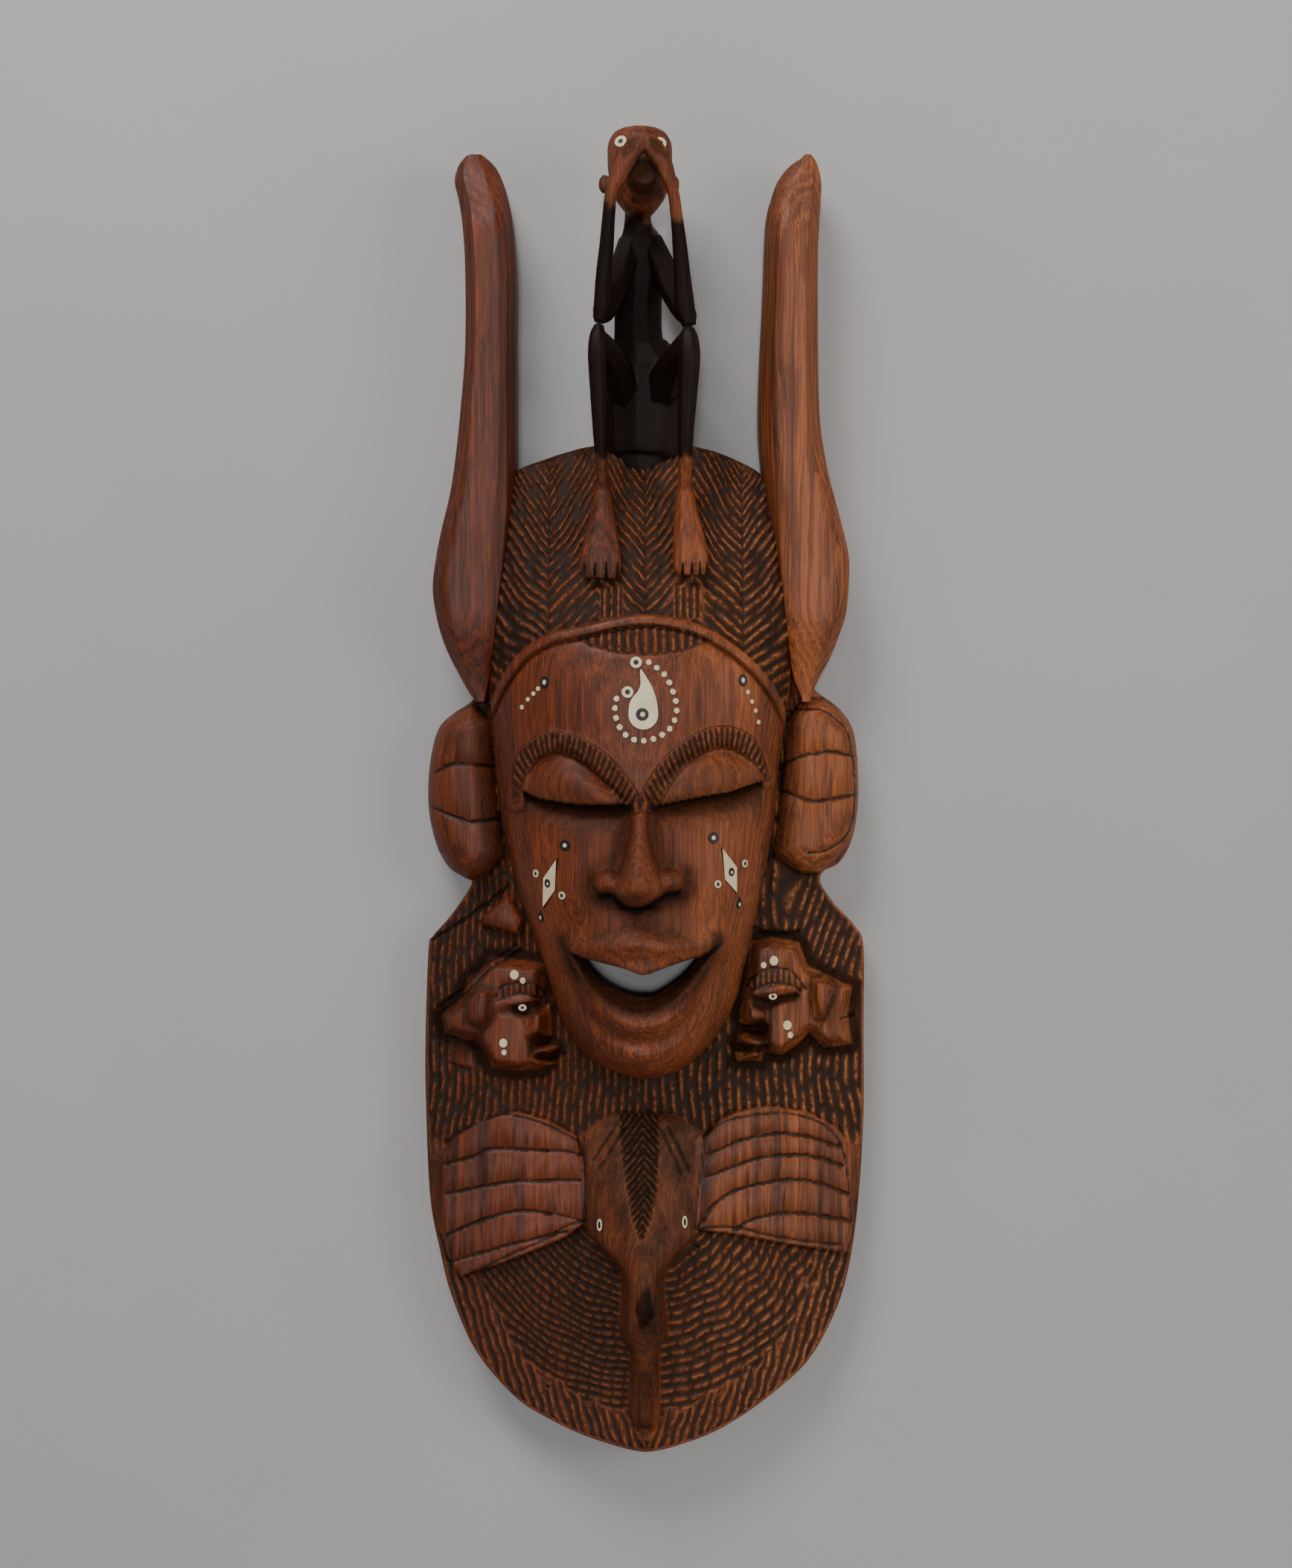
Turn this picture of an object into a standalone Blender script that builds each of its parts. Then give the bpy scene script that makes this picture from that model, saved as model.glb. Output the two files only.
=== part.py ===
"""A carved wall mask of one block of rosewood: a smiling face under a herringbone cap with two tall
horns and a squatting crest figure, on a plate with two side profiles and an elephant's head, set with
bone and black inlays. It lies on its flat back, face up."""

import math

import bmesh
import bpy
import numpy as np
from mathutils import Matrix, Vector

# The whole mask, in metres. Its carving is drawn in parts, of which the mask is 900 long
LENGTH = 0.900
PARTS = 900
UNIT = LENGTH / PARTS
HALF_WIDE = 151.0
MIDDLE_X = -1.0
MIDDLE_Y = -7.6

# The plate and its hollow back
PLATE_EDGE = 0.026
PLATE_CROWN = 0.012
RIM_ROUND = 0.006
HOLLOW_DEPTH = 0.056
HOLLOW_LENGTH = 0.250
HOLLOW_WIDTH = 0.150
LEAST_WALL = 0.014

# Heights of the head over the back
FACE_EDGE = 0.046
FOREHEAD = 0.104
BAND_WIDTH = 0.0065
BAND_RISE = 0.0035

# Carving of the face
BROW_WIDTH = 0.0145
BROW_RISE = 0.0030
SOCKET_DEPTH = 0.0070
LID_RISE = 0.0085
LASH_STEP = 0.0095
NOSE_RISE = 0.027
NOSTRIL_RISE = 0.013
NOSTRIL_WIDTH = 0.0118
NOSTRIL_LENGTH = 0.0095
LIP_RISE = 0.0050
MOUTH_DEPTH = 0.015
CHIN_RISE = 0.006
CHEEK_RISE = 0.004

# Ears, side profiles and the elephant
EAR_RISE = 0.019
GROOVE_WIDTH = 0.004
GROOVE_DEPTH = 0.0024
GROOVE_STEPS = 2
PROFILE_RISE = 0.011
PANEL_RISE = 0.006
TRUNK_TOP = 0.070

# The horns
HORN_FRONT = 0.064
HORN_BACK = 0.012
HORN_TIP_DROP = 0.016
HORN_FOOT_DROP = 0.012
HORN_BEVEL = 0.007
HORN_ROWS = 16

# The crest figure
LIMB_SIDES = 12
FIGURE_GRAIN = 0.0016

# Inlays: their fit in metres, and their sizes in parts like the rest of the pattern
POCKET_GAP = 0.0003
INLAY_DEPTH = 0.0030
INLAY_PROUD = 0.0006
DOT_SIZE = 3.6
RING_RADIUS = 3.9
SMALL_RING_RADIUS = 2.7
DISC_RADIUS = 3.6
TEAR_RADIUS = 9.8
DROP_RADIUS = 2.7
PROFILE_EYE = 3.0
ELEPHANT_EYE_HALF = 2.0
ELEPHANT_EYE_STRETCH = 2.1
CREST_EYE_RADIUS = 4.2
ROUND_SIDES = 8

# Fineness of the solids
ROW_STEP = 0.0036
BLOCK_SHARE = 0.040
FIGURE_SHARE = 0.026


def master(*points):
    """Hand-chosen points, in parts, as metres."""
    return UNIT * np.array(points, dtype=float)


def ease(low, high, value):
    """A smooth step from 0 at low to 1 at high."""
    t = np.clip((value - low) / (high - low), 0.0, 1.0)
    return t * t * (3.0 - 2.0 * t)


def curve_through(points, steps=6):
    """A Catmull-Rom curve through the points, with a few steps between each two."""
    ends = np.vstack([2 * points[0] - points[1], points, 2 * points[-1] - points[-2]])
    t = np.linspace(0.0, 1.0, steps, endpoint=False)[:, None]
    pieces = []
    for a, b, c, d in zip(ends[:-3], ends[1:-2], ends[2:-1], ends[3:]):
        pieces.append(0.5 * (2 * b + (c - a) * t + (2 * a - 5 * b + 4 * c - d) * t ** 2
                             + (3 * b - a - 3 * c + d) * t ** 3))
    return np.vstack(pieces + [points[-1:]])


def profile(stations, at):
    """A smooth height read from a few (place, height) stations, flat beyond its ends."""
    line = curve_through(np.array(sorted(map(tuple, stations)), dtype=float), 8)
    return np.interp(at, line[:, 0], line[:, 1])


def distance_to(x, y, line):
    """Distance from each point to the nearest place on a line, and the share of the line there."""
    best = np.full(np.shape(x), np.inf)
    place = np.zeros(np.shape(x))
    lengths = np.hypot(*(line[1:] - line[:-1]).T)
    total = lengths.sum()
    run = 0.0
    for a, b, size in zip(line[:-1], line[1:], lengths):
        step = (b - a) / max(size, 1e-9)
        t = np.clip((x - a[0]) * step[0] + (y - a[1]) * step[1], 0.0, size)
        gap = np.hypot(x - a[0] - t * step[0], y - a[1] - t * step[1])
        nearer = gap < best
        best = np.where(nearer, gap, best)
        place = np.where(nearer, (run + t) / total, place)
        run += size
    return best, place


def inside(x, y, loop):
    """Distance to a closed outline, positive inside it and negative outside."""
    closed = np.vstack([loop, loop[:1]])
    gap = distance_to(x, y, closed)[0]
    within = np.zeros(np.shape(x), dtype=bool)
    for a, b in zip(closed[:-1], closed[1:]):
        spans = (a[1] > y) != (b[1] > y)
        rise = b[1] - a[1] if abs(b[1] - a[1]) > 1e-12 else 1e-12
        within ^= spans & (x < a[0] + (y - a[1]) * (b[0] - a[0]) / rise)
    return np.where(within, gap, -gap)


def bump(x, y, centre, reach_x, reach_y):
    """A soft round swelling of height 1 at its centre."""
    return np.exp(-((x - centre[0]) / reach_x) ** 2 - ((y - centre[1]) / reach_y) ** 2)


# Outlines of the block, left and right, from the lower tip to the top of the cap
BLOCK_LEFT = ((0, -458), (-8, -457), (-20, -454), (-43, -446.5), (-66, -436), (-90, -421), (-117, -390),
              (-134, -352), (-142, -321), (-149, -283), (-152, -213), (-152, -170), (-150, -114),
              (-147, -105), (-134, -90), (-120, -69), (-124, -65), (-136, -57), (-145, -40), (-150, -15),
              (-149, 14), (-143, 38), (-132, 49), (-119, 58), (-111, 75), (-105, 110), (-101, 160),
              (-96, 200), (-88, 214), (-68, 222), (-53, 227), (-35, 231), (0, 233))
BLOCK_RIGHT = ((0, -458), (8, -457), (20, -454), (42, -446.5), (62, -436), (85, -420), (111, -397),
               (129, -366), (139, -336), (146, -290), (150, -228), (150, -170), (150, -113), (144, -98),
               (130, -83), (120, -68), (122, -60), (133, -54), (142, -38), (146, -15), (146, 10),
               (143, 36), (133, 52), (117, 64), (107, 78), (101, 110), (96, 160), (88, 198), (78, 212),
               (60, 222), (44, 228), (25, 232), (0, 233))
EAR_LEFT = ((-104, 43), (-119, 55), (-132, 48), (-142, 40), (-148, 20), (-150, -2), (-149, -24),
            (-143, -46), (-133, -60), (-121, -66), (-108, -63), (-97, -50), (-100, -20), (-104, 12))
EAR_RIGHT = ((96, 43), (108, 60), (122, 59), (134, 51), (142, 38), (146, 16), (146, -18), (142, -38),
             (132, -52), (119, -62), (106, -62), (87, -50), (90, -20), (94, 12))
EAR_GROOVES = (((-143, 8), (-133, 13), (-118, 13), (-104, 12)),
               ((-146, -16), (-132, -22), (-118, -26), (-100, -24)),
               ((92, 11), (101, 17), (124, 22), (142, 19)),
               ((92, -4), (104, -9), (117, -12), (143, -7)))

# The face and what is carved on it
FACE_LEFT = ((-92, 82), (-103, 60), (-106, 47), (-103, 12), (-99, -23), (-90, -63), (-80, -96), (-69, -127),
             (-63, -147), (-54, -168), (-41, -185), (-22, -196), (-3, -201))
FACE_RIGHT = ((84, 74), (93, 60), (96, 47), (91, 12), (88, -24), (81, -63), (75, -96), (67, -127),
              (62, -147), (50, -170), (37, -185), (22, -196), (-3, -201))
HEADBAND = ((-108, 46), (-99, 65), (-84, 85), (-66, 96), (-45, 101), (-5, 109), (26, 105), (46, 97),
            (63, 86), (78, 72), (89, 57), (96, 44))
FRINGE = ((-46, 97), (-24, 103), (0, 106), (24, 104), (45, 96), (24, 88), (3, 85), (-20, 87), (-38, 92))
BROWS = (((-88, -12), (-86, 4), (-79, 19), (-66, 27), (-54, 27), (-40, 21), (-27, 11), (-18, 0), (-9, -13)),
         ((2, -12), (9, 1), (17, 12), (28, 22), (40, 29), (52, 31.5), (64, 28), (73, 20), (82, 4)))
LID_TOPS = (((-84, -4), (-76, 9), (-66, 16), (-54, 18), (-42, 12), (-28, 1), (-17, -8), (-9, -14)),
            ((4, -15), (10, 0), (22, 11), (38, 19), (52, 22), (64, 18), (72, 12), (80, 2)))
LASHES = (((-84, -4), (-75, -9), (-61, -12), (-46, -14), (-27, -14.5), (-9, -14.5)),
          ((4, -15.5), (17, -13), (36, -9), (55, -6), (67, -2), (80, 2)))
NOSE_X = -4.5
NOSE_RIDGE = ((-84, 0.0), (-80, 0.55), (-72, 1.0), (-62, 0.97), (-48, 0.74), (-29, 0.46), (-7, 0.12),
              (8, 0.0))
NOSE_HALF = ((-84, 11), (-74, 14), (-62, 13), (-48, 9), (-29, 5.5), (-7, 5), (8, 9))
NOSTRILS = ((-24.5, -66), (15.5, -65))
MOUTH_SLIT = ((-41, -117), (-30, -119), (-14, -123), (-2.5, -127), (8, -124), (19, -120), (35, -116),
              (26, -128), (16, -136), (6, -142), (-3, -143), (-14, -141), (-26, -135), (-35, -127))
MOUTH_RECESS = ((-52, -112), (-41, -116), (-22, -120), (-2.5, -127), (18, -120), (35, -115), (49, -105),
                (41, -121), (30, -135), (19, -146), (8, -152), (-3, -154), (-14, -152), (-27, -146),
                (-40, -135), (-48, -120))
LOWER_LIP = ((-52, -117), (-43, -136), (-30, -150), (-15, -159), (-3, -161.5), (10, -159), (23, -151),
             (35, -134), (49, -109))
UPPER_LIP = ((-49, -110), (-30, -109), (-16, -107), (-4, -106), (8, -108), (26, -109), (45, -105))
CHIN = (-2, -184)
FACE_FOOT = -203.5
HOLLOW_CENTRE = (-4, -45)
CHEEKBONES = ((-54, -70), (47, -68))

CROWN = ((-203, 0.46), (-198, 0.615), (-190, 0.75), (-176, 0.846), (-150, 0.904), (-110, 0.933),
         (-60, 0.933), (-10, 0.962), (40, 1.0), (75, 0.98), (105, 0.913), (140, 0.808), (180, 0.673),
         (212, 0.53), (233, 0.442))
EDGE = ((-203, 0.913), (60, 1.0), (110, 1.087), (160, 1.0), (233, 0.87))

# The profile heads at the sides
PROFILE_LEFT = ((-108, -118), (-90, -119), (-69, -122), (-68, -138), (-70, -146), (-66, -158), (-66, -173),
                (-70, -178), (-61, -180), (-64, -185), (-69, -187), (-66, -192), (-72, -196), (-86, -198),
                (-106, -196), (-117, -178), (-139, -172), (-142, -158), (-127, -145), (-124, -134),
                (-116, -128))
PROFILE_RIGHT = ((70, -107), (88, -104), (106, -108), (112, -124), (126, -131), (143, -139), (140, -158),
                 (143, -180), (122, -182), (112, -172), (104, -180), (93, -187), (82, -184), (80, -191),
                 (60, -190), (66, -183), (61, -177), (63, -171), (78, -168), (66, -165), (64, -160),
                 (65, -144), (69, -128))
LEAF_LEFT = ((-122, -148), (-114, -139), (-106, -141), (-106, -158), (-112, -168), (-122, -162))
LEAF_RIGHT = ((114, -133), (124, -131), (130, -138), (122, -160), (115, -160), (113, -146))
SIDE_LOCK = ((-94, -73), (-113, -90), (-113, -98), (-86, -105), (-82, -93))

# The elephant at the foot
PANEL_LEFT = ((-141, -256), (-132, -242), (-117, -230), (-101, -225), (-87, -223), (-66, -229), (-46, -240),
              (-42, -270), (-41, -301), (-56, -312), (-87, -325), (-127, -340), (-136, -326), (-141, -300))
PANEL_RIGHT = ((35, -245), (48, -230), (60, -223), (84, -219), (110, -223), (131, -234), (144, -249),
               (142, -275), (142, -300), (139, -323), (100, -317), (60, -309), (34, -306))
PANEL_GROOVES = (((-138, -261), (-117, -255), (-104, -250), (-68, -251)),
                 ((-137, -282), (-111, -276), (-86, -272), (-45, -271)),
                 ((-137, -310), (-117, -301), (-101, -295), (-83, -292), (-66, -294)),
                 ((-136, -328), (-111, -321), (-86, -314), (-54, -306)),
                 ((42, -254), (62, -245), (83, -240), (108, -241), (132, -249)),
                 ((41, -269), (62, -261), (84, -255), (113, -255), (134, -262)),
                 ((36, -302), (47, -287), (62, -278), (83, -273), (101, -271), (119, -274), (139, -282)),
                 ((60, -305), (73, -298), (93, -294), (113, -295), (140, -300)))
TRUNK_X = ((-449, 0), (-430, -1), (-385, -1), (-350, -2), (-320, -2), (-280, -2), (-228, -2))
TRUNK_HALF = ((-450, 4), (-441, 8), (-425, 10.5), (-395, 10), (-384, 11), (-376, 16.5), (-350, 14.5),
              (-335, 15.5), (-325, 21), (-312, 34), (-300, 39), (-270, 41), (-243, 42), (-233, 33),
              (-226, 20))
TRUNK_CREST = ((-451, 0.37), (-440, 0.57), (-415, 0.657), (-385, 0.814), (-365, 0.97), (-345, 1.0),
               (-320, 0.957), (-290, 0.87), (-255, 0.743), (-226, 0.6))

# The horns: outer edge, inner edge and the ridge between the front and the inner face
HORN_LEFT = (((432, -117), (428, -124), (422, -129), (412, -131), (399, -128), (381, -125), (351, -123),
             (298, -123), (257, -126), (227, -129), (199, -133), (169, -140), (146, -144), (131, -145),
             (116, -143), (100, -139), (85, -133), (63, -121), (54, -114)), ((432, -114), (428, -109),
             (422, -103), (412, -98), (399, -94), (381, -91), (351, -89), (298, -89), (217, -89),
             (148, -94), (110, -99), (75, -105), (54, -110)), ((432, -114), (399, -99), (351, -94),
             (293, -94), (196, -94), (152, -97), (123, -100), (86, -104), (54, -110)))
HORN_RIGHT = (((429, 113), (424, 117), (412, 120), (394, 119), (364, 117), (298, 117), (252, 118),
              (227, 121), (207, 125), (192, 129), (169, 135), (154, 138), (138, 138), (116, 136),
              (100, 131), (85, 125), (70, 117), (58, 112)), ((429, 108), (424, 100), (418, 94), (410, 89),
              (398, 85), (383, 82), (332, 80), (260, 77), (217, 79), (148, 88), (89, 98), (58, 106)),
              ((429, 108), (398, 92), (314, 87), (228, 86), (178, 89), (128, 93), (77, 99), (58, 106)))

# The crest figure: stations of each limb as x, y, height, half width and half thickness, in parts
TORSO = ((-4, 202, 46, 6, 6), (-3, 212, 42, 17, 14), (-2, 224, 37, 28, 21), (-2, 255, 37, 30, 24),
         (-2, 284, 38, 29, 24), (-4, 296, 40, 21, 19), (-5.5, 304, 41, 17, 15), (-5.5, 330, 42, 16.5, 13),
         (-4, 350, 44, 17, 12), (-4, 368, 46, 16, 11), (-5.5, 380, 48, 10, 9), (-5.5, 392, 52, 9, 10))
HEAD = ((-4.2, 386, 58, 9, 12), (-4.2, 396, 62, 17, 20), (-4.2, 410, 64, 21, 23), (-4.2, 426, 62, 22, 22),
        (-4.2, 435, 61, 21, 19), (-4.2, 440, 60, 17, 14))
MUZZLE = ((-2, 408, 66, 16, 14), (-2, 406, 80, 13, 12), (-1.5, 408, 92, 9, 9))
FOREARMS = (((-1, 429, 100, 4, 5), (-6, 424, 101, 7, 5), (-12.3, 414, 101, 7, 5), (-17.5, 403, 100, 6, 5),
             (-22.7, 393, 99, 4.6, 5), (-24.7, 376, 98, 4.6, 5.5), (-26.1, 357, 96, 5.2, 6),
             (-28, 338, 94, 5.6, 6.5), (-29, 318, 93, 6, 7), (-31, 307, 94, 4, 4.5)),
            ((-2, 429, 100, 4, 5), (3, 424, 101, 7, 5), (10, 414, 101, 7, 5), (14.6, 403, 100, 5.5, 5),
             (18.2, 392, 99, 4.2, 5), (20.5, 376, 98, 4.4, 5.5), (22.6, 357, 96, 5.2, 6),
             (24.2, 338, 94, 6, 6.5), (26, 318, 93, 7, 7), (29, 305, 94, 5, 5)))
UPPER_ARMS = (((-11, 370, 46, 8, 9), (-16, 350, 56, 9, 9), (-21, 333, 68, 9, 9), (-28, 316, 86, 8, 8),
               (-31, 311, 93, 5, 5)),
              ((4, 370, 46, 8, 9), (12, 350, 56, 9, 9), (18, 333, 68, 9, 9), (26, 315, 86, 8, 8),
               (29, 309, 93, 5, 5)))
THIGHS = (((-16, 268, 44, 13, 20), (-21, 280, 62, 12, 17), (-28, 291, 86, 9, 11), (-31.5, 297, 96, 6, 7)),
          ((11, 268, 44, 13, 20), (17, 280, 62, 12, 17), (24, 290, 86, 9, 11), (28, 296, 96, 7, 7)))
SHINS = (((-31, 305, 96, 3.4, 4), (-32, 298, 97, 5.6, 6), (-32.2, 286, 97, 6.6, 7.5),
          (-31.6, 264, 94, 6, 7.5), (-30.6, 235, 90, 5, 7), (-29.4, 212, 84, 4.2, 7.5),
          (-28.8, 198, 78, 4.8, 9), (-28.8, 190, 74, 5, 8)),
         ((28, 303, 96, 4, 4), (28.6, 296, 97, 6.6, 6), (29, 284, 97, 7.8, 7.5), (28.2, 264, 94, 7, 7.5),
          (26.8, 235, 90, 5.6, 7), (26.2, 212, 84, 4.8, 7.5), (26, 198, 78, 5, 9), (26, 190, 74, 5.2, 8)))
FEET = (((-28.8, 205, 77, 4.5, 7), (-29, 188, 80, 7, 8), (-29.4, 170, 83, 10.5, 7), (-30, 154, 86, 13.6, 6),
         (-30.2, 144, 87.5, 14, 5), (-30.4, 137, 88, 11, 3.4)),
        ((26, 205, 77, 4.5, 7), (26.6, 188, 80, 7, 8), (28, 170, 83, 10, 7), (29.6, 155, 86, 11.8, 6),
         (30, 145, 87.5, 12, 5), (30.2, 139, 88, 9, 3.4)))
EARS_OF_FIGURE = (((-24, 407, 55, 5, 3), (-29, 407, 55, 6.5, 3.2), (-32, 407, 55, 3, 1.6)),
                  ((16, 407, 55, 5, 3), (20, 407, 55, 6, 3.2), (22.5, 407, 55, 3, 1.6)))


def plate_height(x, y):
    """The plate's front: a shallow crown across, falling to its rim."""
    across = np.clip(1.0 - (x / (HALF_WIDE * UNIT)) ** 2, 0.0, 1.0)
    return PLATE_EDGE + PLATE_CROWN * across


def head_width(y):
    """Middle and half width of the head at each height: the face below, the cap above."""
    left = profile([(v, u) for u, v in FACE_LEFT[2:]] + [(60, -107), (110, -107), (160, -106), (204, -101),
                                                       (224, -88), (236, -60)], y / UNIT)
    right = profile([(v, u) for u, v in FACE_RIGHT[2:]] + [(60, 98), (110, 101), (160, 99), (204, 90),
                                                         (224, 78), (236, 52)], y / UNIT)
    return 0.5 * (left + right) * UNIT, 0.5 * (right - left) * UNIT


def head_height(x, y):
    """The egg of the head: a crown line down the middle, rounded off to both edges."""
    v = y / UNIT
    crown = profile(CROWN, v) * FOREHEAD
    edge = profile(EDGE, v) * FACE_EDGE
    middle, half = head_width(y)
    across = np.clip(np.abs(x - middle) / np.maximum(half, UNIT), 0.0, 1.0)
    return edge + (crown - edge) * (1.0 - across ** 2.1) ** 0.62


def eyes(x, y):
    """Sockets under the brows, closed lids and the step below each lash line."""
    added = np.zeros(np.shape(x))
    for top, lash in zip(LID_TOPS, LASHES):
        top_line = master(*top)
        lash_line = master(*lash)
        low, high = lash_line[0, 0], lash_line[-1, 0]
        across = np.clip((x - low) / (high - low), 0.0, 1.0)
        span = np.clip(1.0 - (2.0 * across - 1.0) ** 4, 0.0, 1.0) * ((x > low) & (x < high))
        lash_y = np.interp(x, lash_line[:, 0], lash_line[:, 1])
        top_y = np.interp(x, *curve_through(top_line, 6).T)
        share = np.clip((y - lash_y) / np.maximum(top_y - lash_y, UNIT), 0.0, 1.3)
        lid = LID_RISE * np.sin(math.pi * np.clip(0.30 + 0.70 * share, 0.0, 1.0)) - SOCKET_DEPTH * 0.55
        fade = 1.0 - ease(1.0, 1.3, share)
        below = np.clip((lash_y - y) / (22.0 * UNIT), 0.0, 1.0)
        step = -LASH_STEP * (1.0 - below) ** 1.6
        added += span * np.where(y >= lash_y, lid * fade, step)
    return added


def nose(x, y):
    """A narrow ridge that widens to a round tip, with a nostril wing at each side."""
    v = y / UNIT
    ridge = profile(NOSE_RIDGE, v) * NOSE_RISE
    half = profile(NOSE_HALF, v) * UNIT
    off = np.abs(x - NOSE_X * UNIT) / half
    dome = np.sqrt(np.clip(1.0 - (off / 1.15) ** 2, 0.0, 1.0))
    shape = ridge * (0.80 * dome + 0.20 * np.exp(-(off / 1.8) ** 2))
    for wing in master(*NOSTRILS):
        dome = 1.0 - ((x - wing[0]) / NOSTRIL_WIDTH) ** 2 - ((y - wing[1]) / NOSTRIL_LENGTH) ** 2
        shape = np.maximum(shape, NOSTRIL_RISE * np.sqrt(np.clip(dome, 0.0, 1.0)))
    return shape


def mouth(x, y):
    """Lips as two soft ridges, the bevel down to the slit, the crease and the chin under it."""
    lower = distance_to(x, y, curve_through(master(*LOWER_LIP), 3))[0]
    upper = distance_to(x, y, curve_through(master(*UPPER_LIP), 3))[0]
    crease = distance_to(x, y, curve_through(master(*LOWER_LIP) + np.array([0.0, -12.5 * UNIT]), 3))[0]
    recess = inside(x, y, master(*MOUTH_RECESS))
    shape = LIP_RISE * np.exp(-(lower / (6.5 * UNIT)) ** 2)
    shape = shape + 0.9 * LIP_RISE * np.exp(-(upper / (7.5 * UNIT)) ** 2)
    shape -= 0.6 * LIP_RISE * np.exp(-(crease / (4.5 * UNIT)) ** 2)
    shape -= MOUTH_DEPTH * ease(0.0, 10.0 * UNIT, recess)
    shape += CHIN_RISE * bump(x, y, master(CHIN)[0], 26.0 * UNIT, 12.0 * UNIT)
    for bone in master(*CHEEKBONES):
        shape += CHEEK_RISE * bump(x, y, bone, 26.0 * UNIT, 30.0 * UNIT)
    return shape


def brows(x, y):
    """A raised band over each eye."""
    added = np.zeros(np.shape(x))
    for line in BROWS:
        gap = distance_to(x, y, curve_through(master(*line), 4))[0]
        added = np.maximum(added, BROW_RISE * (1.0 - ease(0.38 * BROW_WIDTH, 0.62 * BROW_WIDTH, gap)))
    return added


def elephant(x, y, ground):
    """Two ear panels, and the head that narrows into the long trunk, over the plate."""
    v = y / UNIT
    height = ground
    for loop in (PANEL_LEFT, PANEL_RIGHT):
        gap = inside(x, y, master(*loop))
        height = np.maximum(height, ground + PANEL_RISE * ease(-1.5 * UNIT, 2.5 * UNIT, gap))
    top = profile(TRUNK_CREST, v) * TRUNK_TOP
    half = profile(TRUNK_HALF, v) * UNIT
    off = np.clip(np.abs(x - profile(TRUNK_X, v) * UNIT) / half, 0.0, 1.0)
    gable = ease(-335.0, -300.0, v)
    ridged = 0.30 * (off < 1.0) + 0.70 * (1.0 - off ** 1.3)
    section = (1.0 - gable) * np.sqrt(1.0 - off ** 2.4) + gable * ridged
    form = np.where((off < 1.0) & (v < -226.0) & (v > -450.5), ground + (top - ground) * section, ground)
    return np.maximum(height, form)


def front_height(x, y):
    """The whole front of the block, as a height over its flat back."""
    ground = plate_height(x, y)
    height = elephant(x, y, ground)
    for loop in (EAR_LEFT, EAR_RIGHT):
        gap = inside(x, y, master(*loop))
        dome = np.clip(gap / (20.0 * UNIT), 0.0, 1.0)
        height = np.maximum(height, ground + EAR_RISE * np.sqrt(1.0 - (1.0 - dome) ** 2) * (gap > 0.0))
    for loop in (PROFILE_LEFT, PROFILE_RIGHT):
        gap = inside(x, y, master(*loop))
        height = height + PROFILE_RISE * ease(-UNIT, 9.0 * UNIT, gap)
    for loop in (LEAF_LEFT, LEAF_RIGHT, SIDE_LOCK):
        gap = inside(x, y, master(*loop))
        height = height + 0.5 * PROFILE_RISE * ease(-UNIT, 4.0 * UNIT, gap)
    middle, half = head_width(y)
    on_head = (np.abs(x - middle) < half) & (y > FACE_FOOT * UNIT)
    head = head_height(x, y) + eyes(x, y) + nose(x, y) + mouth(x, y) + brows(x, y)
    band = distance_to(x, y, curve_through(master(*HEADBAND), 4))[0]
    head += BAND_RISE * (1.0 - ease(0.35 * BAND_WIDTH, 0.65 * BAND_WIDTH, band))
    head += 0.5 * BAND_RISE * ease(-UNIT, 2.0 * UNIT, inside(x, y, master(*FRINGE)))
    return np.where(on_head, np.maximum(height, head), height)


def block_height(x, y):
    """The front of the block with its rim rounded off."""
    rim = np.clip(inside(x, y, block_loop()) / RIM_ROUND, 0.0, 1.0)
    return front_height(x, y) - 0.5 * RIM_ROUND * (1.0 - np.sqrt(1.0 - (1.0 - rim) ** 2))


def back_height(x, y, front):
    """The flat back, hollowed behind the face for the wearer, with a wall left everywhere."""
    centre = master(HOLLOW_CENTRE)[0]
    away = ((x - centre[0]) / (0.5 * HOLLOW_WIDTH)) ** 2 + ((y - centre[1]) / (0.5 * HOLLOW_LENGTH)) ** 2
    hollow = HOLLOW_DEPTH * np.clip(1.0 - away ** 1.6, 0.0, 1.0) ** 0.6
    return np.minimum(hollow, np.maximum(front - LEAST_WALL, 0.0))


def block_loop():
    """The block's outline, once round."""
    left = curve_through(master(*BLOCK_LEFT), 4)
    right = curve_through(master(*BLOCK_RIGHT), 4)
    return np.vstack([left, right[-2:0:-1]])


def new_object(name, points, faces):
    """An object in the scene from points in the carving's coordinates."""
    mesh = bpy.data.meshes.new(name)
    mesh.from_pydata([tuple(p) for p in points], [], faces)
    mesh.validate()
    made = bpy.data.objects.new(name, mesh)
    bpy.context.scene.collection.objects.link(made)
    made.location = (-MIDDLE_X * UNIT, -MIDDLE_Y * UNIT, 0.0)
    return made


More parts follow.
